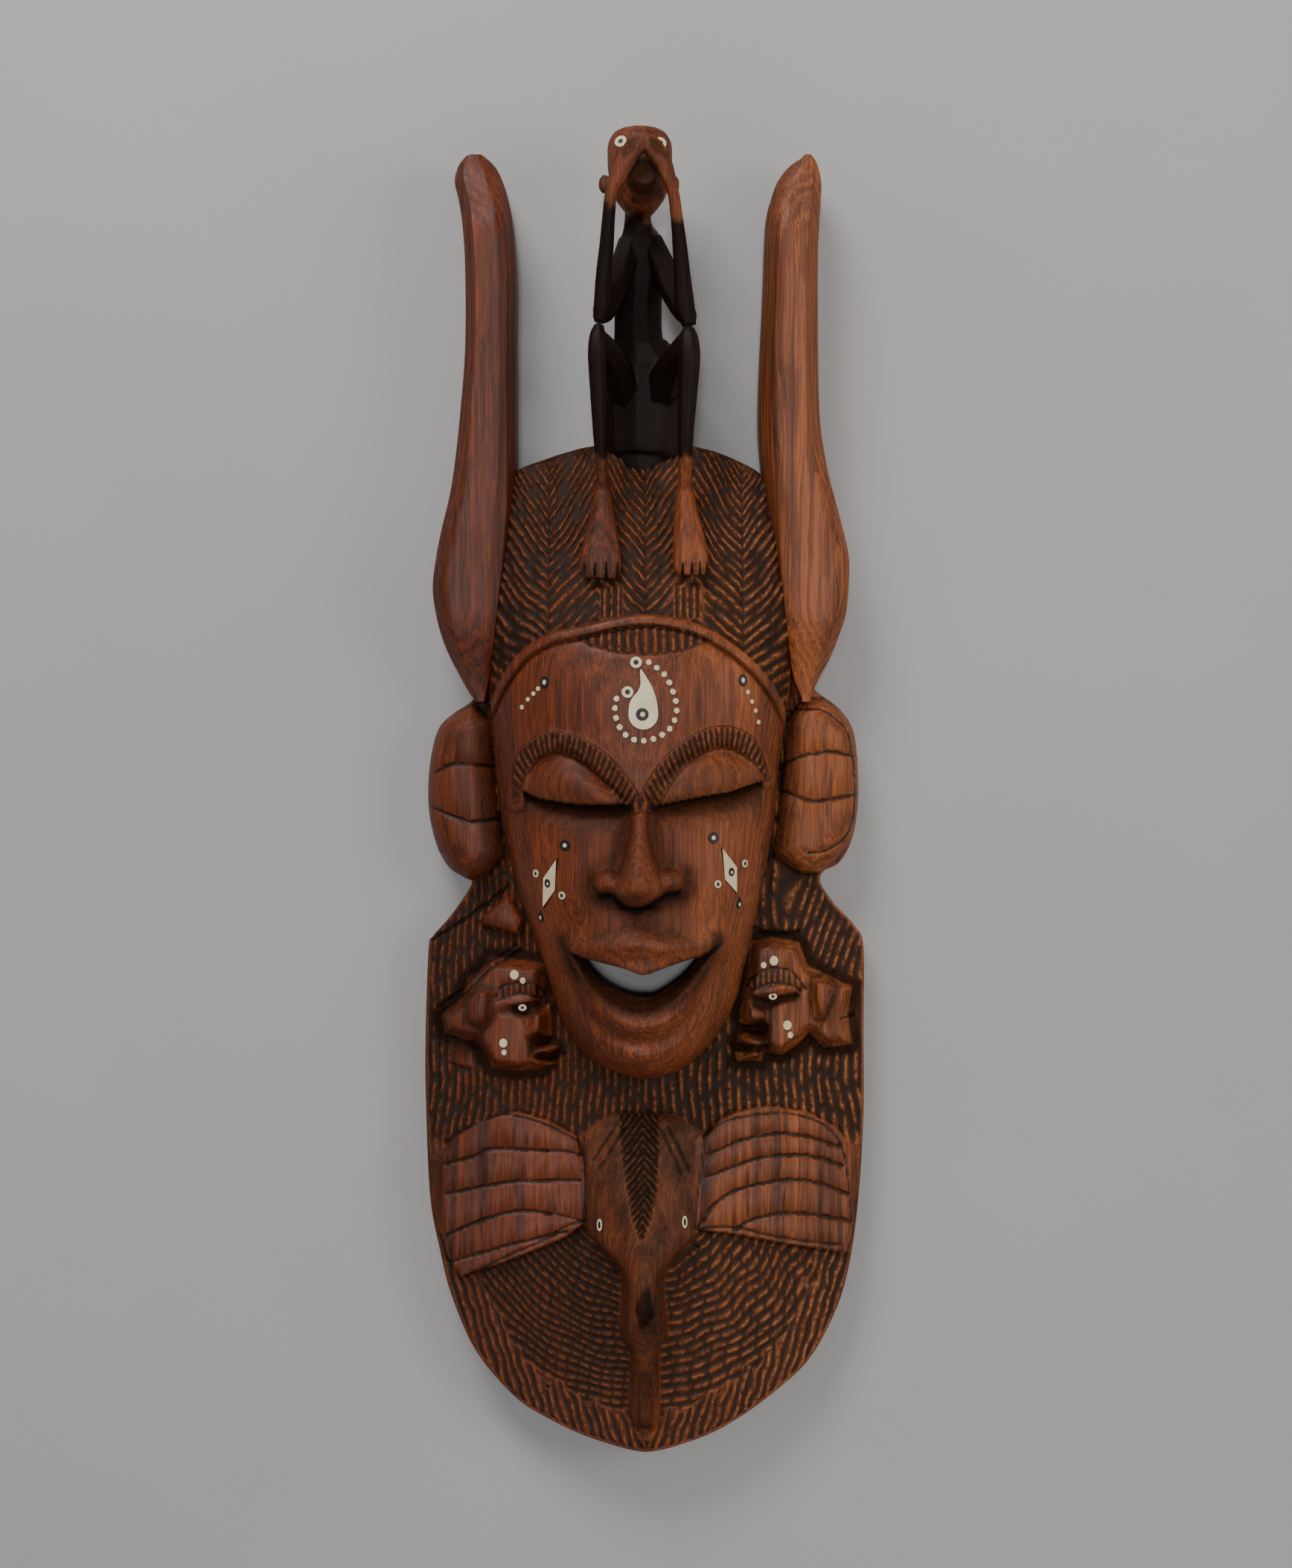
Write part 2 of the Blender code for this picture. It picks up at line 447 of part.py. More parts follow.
def slab(name, left, right, front, back, step):
    """A solid between two edge curves of x over y: rows of points over the front, then over the back."""
    low, high = left[0, 1], left[-1, 1]
    count = int(round((high - low) / step))
    middle = np.linspace(low, high, count + 1)[1:-1]
    ends = (high - low) * np.array([0.0004, 0.0012, 0.0026])
    rows = np.concatenate([low + ends, middle, (high - ends)[::-1]])
    columns = int(round(np.max(np.interp(rows, right[:, 1], right[:, 0])
                               - np.interp(rows, left[:, 1], left[:, 0])) / step))
    share = np.linspace(0.0, 1.0, columns + 1)[None, :]
    start = np.interp(rows, left[:, 1], left[:, 0])[:, None]
    stop = np.interp(rows, right[:, 1], right[:, 0])[:, None]
    x = start + (stop - start) * share
    y = np.repeat(rows[:, None], columns + 1, axis=1)
    top = front(x, y)
    under = back(x, y, top)
    near = np.stack([x, y, top], axis=-1)
    far = np.stack([x, y, under], axis=-1)[:, ::-1]
    rings = np.concatenate([near, far], axis=1)
    return tube_object(name, rings)


def tube_object(name, rings):
    """Rings of points joined into one closed solid, with a flat fan over each end."""
    rows, around = rings.shape[:2]
    index = np.arange(rows * around).reshape(rows, around)
    following = np.roll(index, -1, axis=1)
    quads = np.stack([index[:-1], following[:-1], following[1:], index[1:]], axis=-1).reshape(-1, 4)
    faces = [tuple(q) for q in quads.tolist()]
    faces.append(tuple(index[0, ::-1].tolist()))
    faces.append(tuple(index[-1].tolist()))
    made = new_object(name, rings.reshape(-1, 3), faces)
    face_outwards(made.data)
    return made


def face_outwards(mesh):
    """Faces of a closed mesh turned to point out."""
    shaped = bmesh.new()
    shaped.from_mesh(mesh)
    bmesh.ops.recalc_face_normals(shaped, faces=shaped.faces)
    shaped.to_mesh(mesh)
    shaped.free()


def horn(name, lines):
    """A flat-sided board: a front face, a bevel along its outer edge and a slanted inner face."""
    outer, inner, ridge = [np.array(line, dtype=float) for line in lines]
    rows = np.concatenate([np.linspace(56, 416, HORN_ROWS), [423, 427, 429]])
    side = np.sign(outer[0, 1])
    rings = []
    for v in rows:
        out = profile(outer, v) * UNIT
        into = profile(inner, v) * UNIT
        fold = profile(ridge, v) * UNIT
        tip = ease(370.0, 432.0, v)
        foot = ease(120.0, 54.0, v)
        front = HORN_FRONT - HORN_TIP_DROP * tip - HORN_FOOT_DROP * foot
        back = HORN_BACK + 0.5 * HORN_TIP_DROP * tip
        bevel = min(HORN_BEVEL, 0.25 * abs(out - into))
        ring = [(out, back + bevel), (out, front - 1.6 * bevel), (out - side * bevel, front - 0.3 * bevel),
                (0.5 * (out + fold), front), (fold, front - 0.3 * bevel),
                (into, front - 0.3 * (front - back)), (into, back + 0.5 * bevel),
                (into + side * 0.5 * bevel, back), (out - side * bevel, back)]
        rings.append([(x, v * UNIT, z) for x, z in ring])
    return tube_object(name, np.array(rings))


def limb_rings(stations, sides):
    """Elliptical rings along a limb, each square to the limb's own path."""
    line = UNIT * np.array(stations, dtype=float)
    path = line[:, :3]
    along = np.gradient(path, axis=0)
    along /= np.linalg.norm(along, axis=1)[:, None]
    across = np.cross(along, (0.0, 0.0, 1.0))
    flat = np.linalg.norm(across, axis=1) < 0.2
    across[flat] = (1.0, 0.0, 0.0)
    across /= np.linalg.norm(across, axis=1)[:, None]
    up = np.cross(across, along)
    turn = np.linspace(0.0, 2.0 * math.pi, sides, endpoint=False)
    ring = (np.cos(turn)[None, :, None] * across[:, None, :] * line[:, 3][:, None, None]
            + np.sin(turn)[None, :, None] * up[:, None, :] * line[:, 4][:, None, None])
    return path[:, None, :] + ring


def limb(name, stations, sides=LIMB_SIDES):
    """One limb of the figure as a closed solid."""
    return tube_object(name, limb_rings(stations, sides))


def joined(name, pieces):
    """Several solids as one object, each still its own closed shell."""
    whole = bmesh.new()
    for piece in pieces:
        whole.from_mesh(piece.data)
        bpy.data.objects.remove(piece)
    mesh = bpy.data.meshes.new(name)
    whole.to_mesh(mesh)
    whole.free()
    made = bpy.data.objects.new(name, mesh)
    bpy.context.scene.collection.objects.link(made)
    made.location = (-MIDDLE_X * UNIT, -MIDDLE_Y * UNIT, 0.0)
    return made


def groove_cutter(name, line):
    """A V run along a line on the front, to cut a groove of one width and depth."""
    path = curve_through(master(*line), GROOVE_STEPS)
    height = front_height(path[:, 0], path[:, 1])
    ahead = np.gradient(path, axis=0)
    ahead /= np.linalg.norm(ahead, axis=1)[:, None]
    side = np.stack([-ahead[:, 1], ahead[:, 0]], axis=1)
    rings = []
    for share, lift in ((2.0, GROOVE_DEPTH), (-2.0, GROOVE_DEPTH), (0.0, -GROOVE_DEPTH)):
        across = path + 0.5 * share * GROOVE_WIDTH * side
        rings.append(np.column_stack([across, height + lift]))
    return tube_object(name, np.stack(rings, axis=1))


def crest_figure():
    """The squatting figure, its limbs grown together and thinned to carved planes."""
    pieces = [limb("torso", TORSO), limb("head", HEAD), limb("muzzle", MUZZLE)]
    for group in (FOREARMS, UPPER_ARMS, THIGHS, SHINS, FEET, EARS_OF_FIGURE):
        pieces += [limb("limb", stations) for stations in group]
    figure = joined("crest figure", pieces)
    grown = figure.modifiers.new("grown together", "REMESH")
    grown.mode = "VOXEL"
    grown.voxel_size = FIGURE_GRAIN
    thinned = figure.modifiers.new("carved planes", "DECIMATE")
    thinned.ratio = FIGURE_SHARE
    return figure


def set_aside(piece):
    """A cutter or a joined-on solid, which is not a piece of its own."""
    piece.hide_render = True
    piece.display_type = "WIRE"


def combine(target, other, way):
    """Join another solid to the target, or cut it away. Its shells may run into each other."""
    change = target.modifiers.new(other.name, "BOOLEAN")
    change.object = other
    change.operation = way
    change.use_self = True
    set_aside(other)


def wood(name, colour, roughness):
    """A plain finish for one of the mask's materials."""
    made = bpy.data.materials.new(name)
    made.use_nodes = True
    shader = made.node_tree.nodes["Principled BSDF"]
    shader.inputs["Base Color"].default_value = (*colour, 1.0)
    shader.inputs["Roughness"].default_value = roughness
    shader.inputs["Metallic"].default_value = 0.0
    return made


def surface_frame(spot):
    """Where the front lies over a spot, with its outward normal and two directions along it."""
    x, y = spot
    reach = 2.5 * UNIT
    near = np.array([[x, y], [x + reach, y], [x - reach, y], [x, y + reach], [x, y - reach]])
    z = front_height(near[:, 0], near[:, 1])
    normal = Vector((-(z[1] - z[2]) / (2 * reach), -(z[3] - z[4]) / (2 * reach), 1.0)).normalized()
    across = Vector((1.0, 0.0, 0.0))
    across = (across - normal * across.dot(normal)).normalized()
    return Vector((x, y, z[0])), across, normal.cross(across), normal


def inlay(name, spot, outline, material, cutters, frame=None):
    """A flat inlay let into the wood, and the pocket it sits in."""
    base, across, along, normal = frame or surface_frame(spot)
    turn = Matrix((across, along, normal)).transposed().to_4x4()
    place = Matrix.Translation(base) @ turn
    made = prism(name, outline, -INLAY_DEPTH, INLAY_PROUD, place)
    made.data.materials.append(material)
    wider = grown_outline(outline, POCKET_GAP)
    cutters.append(prism(name + " pocket", wider, -INLAY_DEPTH - POCKET_GAP, 4.0 * INLAY_DEPTH, place))
    return made


def grown_outline(outline, gap):
    """An outline pushed out by a gap, square to its sides."""
    ahead = np.roll(outline, -1, axis=0) - outline
    ahead /= np.linalg.norm(ahead, axis=1)[:, None]
    normal = np.stack([ahead[:, 1], -ahead[:, 0]], axis=1)
    before = np.roll(normal, 1, axis=0)
    share = 1.0 + np.sum(normal * before, axis=1)
    return outline + gap * (normal + before) / share[:, None]


def prism(name, outline, low, high, place):
    """A flat outline given thickness, set in its place."""
    count = len(outline)
    points = [place @ Vector((u, v, z)) for z in (low, high) for u, v in outline]
    faces = [tuple(range(count))[::-1], tuple(range(count, 2 * count))]
    for i in range(count):
        j = (i + 1) % count
        faces.append((i, j, count + j, count + i))
    made = new_object(name, points, faces)
    face_outwards(made.data)
    return made


def round_outline(radius, sides=ROUND_SIDES, stretch=1.0):
    """A circle or an upright oval, counter-clockwise, from its radius in parts."""
    turn = np.linspace(0.0, 2.0 * math.pi, sides, endpoint=False)
    return UNIT * radius * np.stack([np.cos(turn), stretch * np.sin(turn)], axis=1)


def square_outline(size, turn):
    """A small square, turned to follow its row."""
    corner = turn + np.array([0.25, 0.75, 1.25, 1.75]) * math.pi
    return UNIT * size * math.sqrt(0.5) * np.stack([np.cos(corner), np.sin(corner)], axis=1)


def tear_outline(shape, size, sides=8):
    """A drop: a half-round foot of the given radius that draws up to a leaning tip."""
    turn = np.linspace(math.pi, 2.0 * math.pi, sides)
    foot = size * np.stack([np.cos(turn), np.sin(turn)], axis=1)
    return UNIT * np.vstack([foot, size * np.array(shape)])


# Inlays, in parts
FOREHEAD_TEAR = (-1.8, 45.8)
TEAR_SIDES = ((0.93, 0.80), (0.73, 1.55), (0.37, 2.28), (-0.17, 3.08), (-0.21, 2.50), (-0.19, 2.05),
              (-0.38, 1.58), (-0.74, 1.16), (-0.95, 0.66))
FOREHEAD_RINGS = ((-6.6, 80.5), (-12.2, 60.8))
FOREHEAD_ROW = ((1.8, 80.6), (11.4, 73.2), (17.1, 63), (20.2, 48.8), (15.4, 36.5), (3, 29.3), (-10.1, 30.2),
                (-18.2, 39), (-20.6, 50.5), (-19.6, 56.4))
FOREHEAD_DOTS = 18
TEMPLES = (("left", (-67.6, 67.8), ((-71.9, 63.6), (-75.1, 60.3), (-78.9, 56.6), (-83, 51.4))),
           ("right", (64.6, 69.3), ((67.9, 61.4), (70.8, 55.1), (73.2, 49.1), (75.3, 41.5))))
CHEEKS_SET = (("left", (-54, -40.9), ((-58.5, -50), (-69.9, -63.6), (-70.4, -83.2), (-59.7, -70.6)),
               ((-73.8, -60.1), (-56.0, -74.4)), (-70.8, -89.9)),
              ("right", (44.9, -35.9), ((49.6, -42.9), (51.7, -63.6), (61.9, -73), (61.9, -56)),
               ((66.2, -53.4), (47.8, -66.8)), (62.6, -80.9)))
DROP_SIDES = ((0.80, 0.75), (0.0, 2.00), (-0.80, 0.75))
PROFILES_SET = (("left", (-84.2, -152.5), ((-89.8, -130.1, 3), (-84, -134, 2), (-97.4, -176.8, 2.8),
                                           (-96.9, -183.2, 1.8))),
                ("right", (86.5, -144.9), ((80.2, -123.5, 2), (87.2, -120.5, 3), (96.4, -164.6, 3),
                                           (98.4, -171.3, 2))))
ELEPHANT_EYES = (("left", (-31.5, -299.9)), ("right", (26.2, -297.8)))
CREST_EYES = (("left", (-16.9, 431.0, 77.5), (-0.34, 0.30, 0.89)),
              ("right", (9.6, 430.0, 77.5), (0.34, 0.30, 0.89)))


def inlays(bone, black, cutters):
    """Every inlay of the mask, each in its own pocket."""
    tear = tear_outline(TEAR_SIDES, TEAR_RADIUS)
    inlay("forehead_tear", master(FOREHEAD_TEAR)[0], tear, bone, cutters)
    ring = round_outline(RING_RADIUS)
    for number, spot in enumerate(master(*FOREHEAD_RINGS), 1):
        inlay(f"forehead_ring_{number}", spot, ring, bone, cutters)
    row = curve_through(master(*FOREHEAD_ROW), 12)
    run = np.concatenate([[0.0], np.cumsum(np.hypot(*(row[1:] - row[:-1]).T))])
    for number, place in enumerate(np.linspace(0.0, run[-1], FOREHEAD_DOTS), 1):
        spot = np.array([np.interp(place, run, row[:, 0]), np.interp(place, run, row[:, 1])])
        away = math.atan2(spot[1] - master(FOREHEAD_TEAR)[0][1], spot[0])
        inlay(f"forehead_dot_{number:02d}", spot, square_outline(DOT_SIZE, away), bone, cutters)
    for side, disc, dots in TEMPLES:
        inlay(f"temple_{side}_disc", master(disc)[0], round_outline(DISC_RADIUS), black, cutters)
        lean = math.atan2(dots[-1][1] - dots[0][1], dots[-1][0] - dots[0][0])
        for number, spot in enumerate(master(*dots), 1):
            inlay(f"temple_{side}_dot_{number}", spot, square_outline(0.8 * DOT_SIZE, lean), bone, cutters)
    for side, disc, corners, rings, drop in CHEEKS_SET:
        inlay(f"cheek_{side}_disc", master(disc)[0], round_outline(DISC_RADIUS), black, cutters)
        diamond = master(*corners)
        middle = diamond.mean(axis=0)
        inlay(f"cheek_{side}_diamond", middle, diamond - middle, bone, cutters)
        for number, spot in enumerate(master(*rings), 1):
            inlay(f"cheek_{side}_ring_{number}", spot, round_outline(SMALL_RING_RADIUS), bone, cutters)
        small = tear_outline(DROP_SIDES, DROP_RADIUS, 6)
        inlay(f"cheek_{side}_drop", master(drop)[0], small, black, cutters)
    for side, eye, dots in PROFILES_SET:
        inlay(f"profile_{side}_eye", master(eye)[0], round_outline(PROFILE_EYE), bone, cutters)
        for number, (x, y, radius) in enumerate(dots, 1):
            spot = master((x, y))[0]
            inlay(f"profile_{side}_dot_{number}", spot, round_outline(radius), bone, cutters)
    for side, spot in ELEPHANT_EYES:
        oval = round_outline(ELEPHANT_EYE_HALF, ROUND_SIDES, ELEPHANT_EYE_STRETCH)
        inlay(f"elephant_eye_{side}", master(spot)[0], oval, bone, cutters)
    for side, spot, facing in CREST_EYES:
        base = Vector(UNIT * np.array(spot))
        normal = Vector(facing).normalized()
        across = Vector((1.0, 0.0, 0.0))
        across = (across - normal * across.dot(normal)).normalized()
        frame = (base, across, normal.cross(across), normal)
        inlay(f"crest_eye_{side}", base, round_outline(CREST_EYE_RADIUS), bone, cutters, frame)


def mouth_cutter():
    """The slit of the mouth, straight through the block."""
    slit = curve_through(master(*(MOUTH_SLIT + MOUTH_SLIT[:1])), 2)[:-1]
    return prism("mouth slit", slit, -PLATE_EDGE, FOREHEAD + NOSE_RISE, Matrix.Identity(4))


def build():
    """The carved block with everything that grows from it, and its inlays."""
    rosewood = wood("rosewood", (0.16, 0.055, 0.028), 0.42)
    bone = wood("bone", (0.76, 0.68, 0.51), 0.45)
    black = wood("blackened wood", (0.012, 0.011, 0.012), 0.35)
    left = curve_through(master(*BLOCK_LEFT), 4)
    right = curve_through(master(*BLOCK_RIGHT), 4)
    body = slab("mask_body", left, right, block_height, back_height, ROW_STEP)
    body.data.materials.append(rosewood)
    thinned = body.modifiers.new("carved planes", "DECIMATE")
    thinned.ratio = BLOCK_SHARE
    for number, lines in enumerate((HORN_LEFT, HORN_RIGHT), 1):
        combine(body, horn(f"horn {number}", lines), "UNION")
    combine(body, crest_figure(), "UNION")
    combine(body, mouth_cutter(), "DIFFERENCE")
    lines = [groove_cutter("groove", line) for line in EAR_GROOVES + PANEL_GROOVES]
    combine(body, joined("grooves", lines), "DIFFERENCE")
    cutters = []
    inlays(bone, black, cutters)
    combine(body, joined("inlay pockets", cutters), "DIFFERENCE")


for thing in list(bpy.data.objects):
    bpy.data.objects.remove(thing)
build()
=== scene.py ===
"""The looks of a carved wall mask: one block of rosewood with a smiling face, a herringbone cap, two tall
horns, a squatting crest figure, two side profiles and an elephant's head, set with bone and black inlays."""

import math

import bmesh
import bpy
import numpy as np
from mathutils import Matrix, Vector


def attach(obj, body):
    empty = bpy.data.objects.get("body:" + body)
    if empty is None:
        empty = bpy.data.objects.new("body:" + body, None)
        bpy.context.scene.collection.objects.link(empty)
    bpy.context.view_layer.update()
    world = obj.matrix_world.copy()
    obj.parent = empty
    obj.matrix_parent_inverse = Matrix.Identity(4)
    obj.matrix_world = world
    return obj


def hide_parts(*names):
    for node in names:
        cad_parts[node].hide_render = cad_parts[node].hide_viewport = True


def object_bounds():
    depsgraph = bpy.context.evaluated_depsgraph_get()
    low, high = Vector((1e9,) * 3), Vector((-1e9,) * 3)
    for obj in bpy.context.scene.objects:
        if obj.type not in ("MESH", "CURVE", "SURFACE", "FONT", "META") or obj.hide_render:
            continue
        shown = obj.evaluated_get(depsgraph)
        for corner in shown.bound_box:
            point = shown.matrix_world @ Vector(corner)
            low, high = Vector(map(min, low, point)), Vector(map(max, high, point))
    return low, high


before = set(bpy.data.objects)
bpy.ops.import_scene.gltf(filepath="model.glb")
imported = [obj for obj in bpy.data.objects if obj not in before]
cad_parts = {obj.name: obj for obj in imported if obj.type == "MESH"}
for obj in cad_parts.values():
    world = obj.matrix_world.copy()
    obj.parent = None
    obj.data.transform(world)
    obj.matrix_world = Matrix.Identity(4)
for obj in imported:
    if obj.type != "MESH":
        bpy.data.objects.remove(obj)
CAD_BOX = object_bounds()

bl_info = {
    "name": "Carved wall mask",
    "version": (1, 0, 0),
    "blender": (4, 5, 0),
    "location": "View3D > Sidebar > Mask",
    "description": "Builds a carved rosewood wall mask with bone and black inlays, and its studio",
    "category": "Add Mesh",
}

# The whole mask, in metres. Its carving is drawn in parts, of which the mask is 900 long
LENGTH = 0.900
PARTS = 900
UNIT = LENGTH / PARTS
HALF_WIDE = 151.0
MIDDLE_X = -1.0
MIDDLE_Y = -7.6

# The plate and its hollow back
PLATE_EDGE = 0.026
PLATE_CROWN = 0.012
RIM_ROUND = 0.006
HOLLOW_DEPTH = 0.056
HOLLOW_LENGTH = 0.250
HOLLOW_WIDTH = 0.150
LEAST_WALL = 0.014

# Heights of the head over the back
FACE_EDGE = 0.046
FOREHEAD = 0.104
BAND_WIDTH = 0.0065
BAND_RISE = 0.0035

# Carving of the face
BROW_WIDTH = 0.0145
BROW_RISE = 0.0030
SOCKET_DEPTH = 0.0070
LID_RISE = 0.0085
LASH_STEP = 0.0095
NOSE_RISE = 0.027
NOSTRIL_RISE = 0.0095
NOSTRIL_WIDTH = 0.0118
NOSTRIL_LENGTH = 0.0095
LIP_RISE = 0.0050
MOUTH_DEPTH = 0.015
CHIN_RISE = 0.006
CHEEK_RISE = 0.004

# Ears, side profiles and the elephant
EAR_RISE = 0.019
GROOVE_WIDTH = 0.004
GROOVE_DEPTH = 0.0024
PROFILE_RISE = 0.011
PANEL_RISE = 0.006
TRUNK_TOP = 0.070

# The horns
HORN_FRONT = 0.064
HORN_BACK = 0.012
HORN_TIP_DROP = 0.016
HORN_FOOT_DROP = 0.012
HORN_BEVEL = 0.007

# Inlays: their fit in metres, and their sizes in parts like the rest of the pattern
INLAY_DEPTH = 0.0030
INLAY_PROUD = 0.0006
DOT_SIZE = 3.6
RING_RADIUS = 3.9
SMALL_RING_RADIUS = 2.7
DISC_RADIUS = 3.6
TEAR_RADIUS = 9.8
DROP_RADIUS = 2.7
PROFILE_EYE = 3.0
ELEPHANT_EYE_HALF = 2.0
ELEPHANT_EYE_STRETCH = 2.1
CREST_EYE_RADIUS = 4.2


def master(*points):
    """Given points, in parts, as metres."""
    return UNIT * np.array(points, dtype=float)


def ease(low, high, value):
    """A smooth step from 0 at low to 1 at high."""
    t = np.clip((value - low) / (high - low), 0.0, 1.0)
    return t * t * (3.0 - 2.0 * t)


def curve_through(points, steps=6):
    """A Catmull-Rom curve through the points, with a few steps between each two."""
    ends = np.vstack([2 * points[0] - points[1], points, 2 * points[-1] - points[-2]])
    t = np.linspace(0.0, 1.0, steps, endpoint=False)[:, None]
    pieces = []
    for a, b, c, d in zip(ends[:-3], ends[1:-2], ends[2:-1], ends[3:]):
        pieces.append(0.5 * (2 * b + (c - a) * t + (2 * a - 5 * b + 4 * c - d) * t ** 2
                             + (3 * b - a - 3 * c + d) * t ** 3))
    return np.vstack(pieces + [points[-1:]])


def drawn(line, steps=4):
    """A smooth curve, in metres, through given points in parts."""
    return curve_through(master(*line), steps)


def falling(value, reach):
    """1 at nothing, falling evenly to 0 at the reach and staying there."""
    return np.clip(1.0 - value / reach, 0.0, 1.0)


def profile(stations, at):
    """A smooth height read from a few (place, height) stations, flat beyond its ends."""
    line = curve_through(np.array(sorted(map(tuple, stations)), dtype=float), 8)
    return np.interp(at, line[:, 0], line[:, 1])


def distance_to(x, y, line):
    """Distance from each point to the nearest place on a line, and the share of the line there."""
    best = np.full(np.shape(x), np.inf)
    place = np.zeros(np.shape(x))
    lengths = np.hypot(*(line[1:] - line[:-1]).T)
    total = lengths.sum()
    run = 0.0
    for a, b, size in zip(line[:-1], line[1:], lengths):
        step = (b - a) / max(size, 1e-9)
        t = np.clip((x - a[0]) * step[0] + (y - a[1]) * step[1], 0.0, size)
        gap = np.hypot(x - a[0] - t * step[0], y - a[1] - t * step[1])
        nearer = gap < best
        best = np.where(nearer, gap, best)
        place = np.where(nearer, (run + t) / total, place)
        run += size
    return best, place


def inside(x, y, loop):
    """Distance to a closed outline, positive inside it and negative outside."""
    closed = np.vstack([loop, loop[:1]])
    gap = distance_to(x, y, closed)[0]
    within = np.zeros(np.shape(x), dtype=bool)
    for a, b in zip(closed[:-1], closed[1:]):
        spans = (a[1] > y) != (b[1] > y)
        rise = b[1] - a[1] if abs(b[1] - a[1]) > 1e-12 else 1e-12
        within ^= spans & (x < a[0] + (y - a[1]) * (b[0] - a[0]) / rise)
    return np.where(within, gap, -gap)


def parts_inside(x, y, loop):
    """How far inside a drawn loop each place is, in parts."""
    return inside(x, y, master(*loop)) / UNIT


def bump(x, y, centre, reach_x, reach_y):
    """A soft round swelling of height 1 at its centre."""
    return np.exp(-((x - centre[0]) / reach_x) ** 2 - ((y - centre[1]) / reach_y) ** 2)


# Outlines of the block, left and right, from the lower tip to the top of the cap
BLOCK_LEFT = ((0, -458), (-8, -457), (-20, -454), (-43, -446.5), (-66, -436), (-90, -421), (-117, -390),
    (-134, -352), (-142, -321), (-149, -283), (-152, -213), (-152, -170), (-150, -114), (-147, -105),
    (-134, -90), (-120, -69), (-124, -65), (-136, -57), (-145, -40), (-150, -15), (-149, 14), (-143, 38),
    (-132, 49), (-119, 58), (-111, 75), (-105, 110), (-101, 160), (-96, 200), (-88, 214), (-68, 222),
    (-53, 227), (-35, 231), (0, 233))
BLOCK_RIGHT = ((0, -458), (8, -457), (20, -454), (42, -446.5), (62, -436), (85, -420), (111, -397),
    (129, -366), (139, -336), (146, -290), (150, -228), (150, -170), (150, -113), (144, -98), (130, -83),
    (120, -68), (122, -60), (133, -54), (142, -38), (146, -15), (146, 10), (143, 36), (133, 52), (117, 64),
    (107, 78), (101, 110), (96, 160), (88, 198), (78, 212), (60, 222), (44, 228), (25, 232), (0, 233))
EAR_LEFT = ((-104, 43), (-119, 55), (-132, 48), (-142, 40), (-148, 20), (-150, -2), (-149, -24), (-143, -46),
    (-133, -60), (-121, -66), (-108, -63), (-97, -50), (-100, -20), (-104, 12))
EAR_RIGHT = ((96, 43), (108, 60), (122, 59), (134, 51), (142, 38), (146, 16), (146, -18), (142, -38),
    (132, -52), (119, -62), (106, -62), (87, -50), (90, -20), (94, 12))
EAR_GROOVES = (
    ((-143, 8), (-133, 13), (-118, 13), (-104, 12)),
    ((-146, -16), (-132, -22), (-118, -26), (-100, -24)),
    ((92, 11), (101, 17), (124, 22), (142, 19)),
    ((92, -4), (104, -9), (117, -12), (143, -7))
)

# The face and what is carved on it
FACE_LEFT = ((-92, 82), (-103, 60), (-106, 47), (-103, 12), (-99, -23), (-90, -63), (-80, -96), (-69, -127),
    (-63, -147), (-54, -168), (-41, -185), (-22, -196), (-3, -201))
FACE_RIGHT = ((84, 74), (93, 60), (96, 47), (91, 12), (88, -24), (81, -63), (75, -96), (67, -127), (62, -147),
    (50, -170), (37, -185), (22, -196), (-3, -201))
HEADBAND = ((-108, 46), (-99, 65), (-84, 85), (-66, 96), (-45, 101), (-5, 109), (26, 105), (46, 97), (63, 86),
    (78, 72), (89, 57), (96, 44))
FRINGE = ((-46, 97), (-24, 103), (0, 106), (24, 104), (45, 96), (24, 88), (3, 85), (-20, 87), (-38, 92))
BROWS = (
    ((-88, -12), (-86, 4), (-79, 19), (-66, 27), (-54, 27), (-40, 21), (-27, 11), (-18, 0), (-9, -13)),
    ((2, -12), (9, 1), (17, 12), (28, 22), (40, 29), (52, 31.5), (64, 28), (73, 20), (82, 4))
)
LID_TOPS = (
    ((-84, -4), (-76, 9), (-66, 16), (-54, 18), (-42, 12), (-28, 1), (-17, -8), (-9, -14)),
    ((4, -15), (10, 0), (22, 11), (38, 19), (52, 22), (64, 18), (72, 12), (80, 2))
)
LASHES = (
    ((-84, -4), (-75, -9), (-61, -12), (-46, -14), (-27, -14.5), (-9, -14.5)),
    ((4, -15.5), (17, -13), (36, -9), (55, -6), (67, -2), (80, 2))
)
NOSE_X = -4.5
NOSE_RIDGE = (
    (-84, 0.0), (-80, 0.55), (-72, 1.0), (-62, 0.97), (-48, 0.74), (-29, 0.46), (-7, 0.12), (8, 0.0))
NOSE_HALF = ((-84, 11), (-74, 14), (-62, 13), (-48, 9), (-29, 5.5), (-7, 5), (8, 9))
NOSTRILS = ((-24.5, -66), (15.5, -65))
MOUTH_SLIT = ((-41, -117), (-30, -119), (-14, -123), (-2.5, -127), (8, -124), (19, -120), (35, -116),
    (26, -128), (16, -136), (6, -142), (-3, -143), (-14, -141), (-26, -135), (-35, -127))
MOUTH_RECESS = ((-52, -112), (-41, -116), (-22, -120), (-2.5, -127), (18, -120), (35, -115), (49, -105),
    (41, -121), (30, -135), (19, -146), (8, -152), (-3, -154), (-14, -152), (-27, -146), (-40, -135),
    (-48, -120))
LOWER_LIP = ((-52, -117), (-43, -136), (-30, -150), (-15, -159), (-3, -161.5), (10, -159), (23, -151),
    (35, -134), (49, -109))
UPPER_LIP = ((-49, -110), (-30, -109), (-16, -107), (-4, -106), (8, -108), (26, -109), (45, -105))
CHIN = (-2, -184)
FACE_FOOT = -203.5
HOLLOW_CENTRE = (-4, -45)
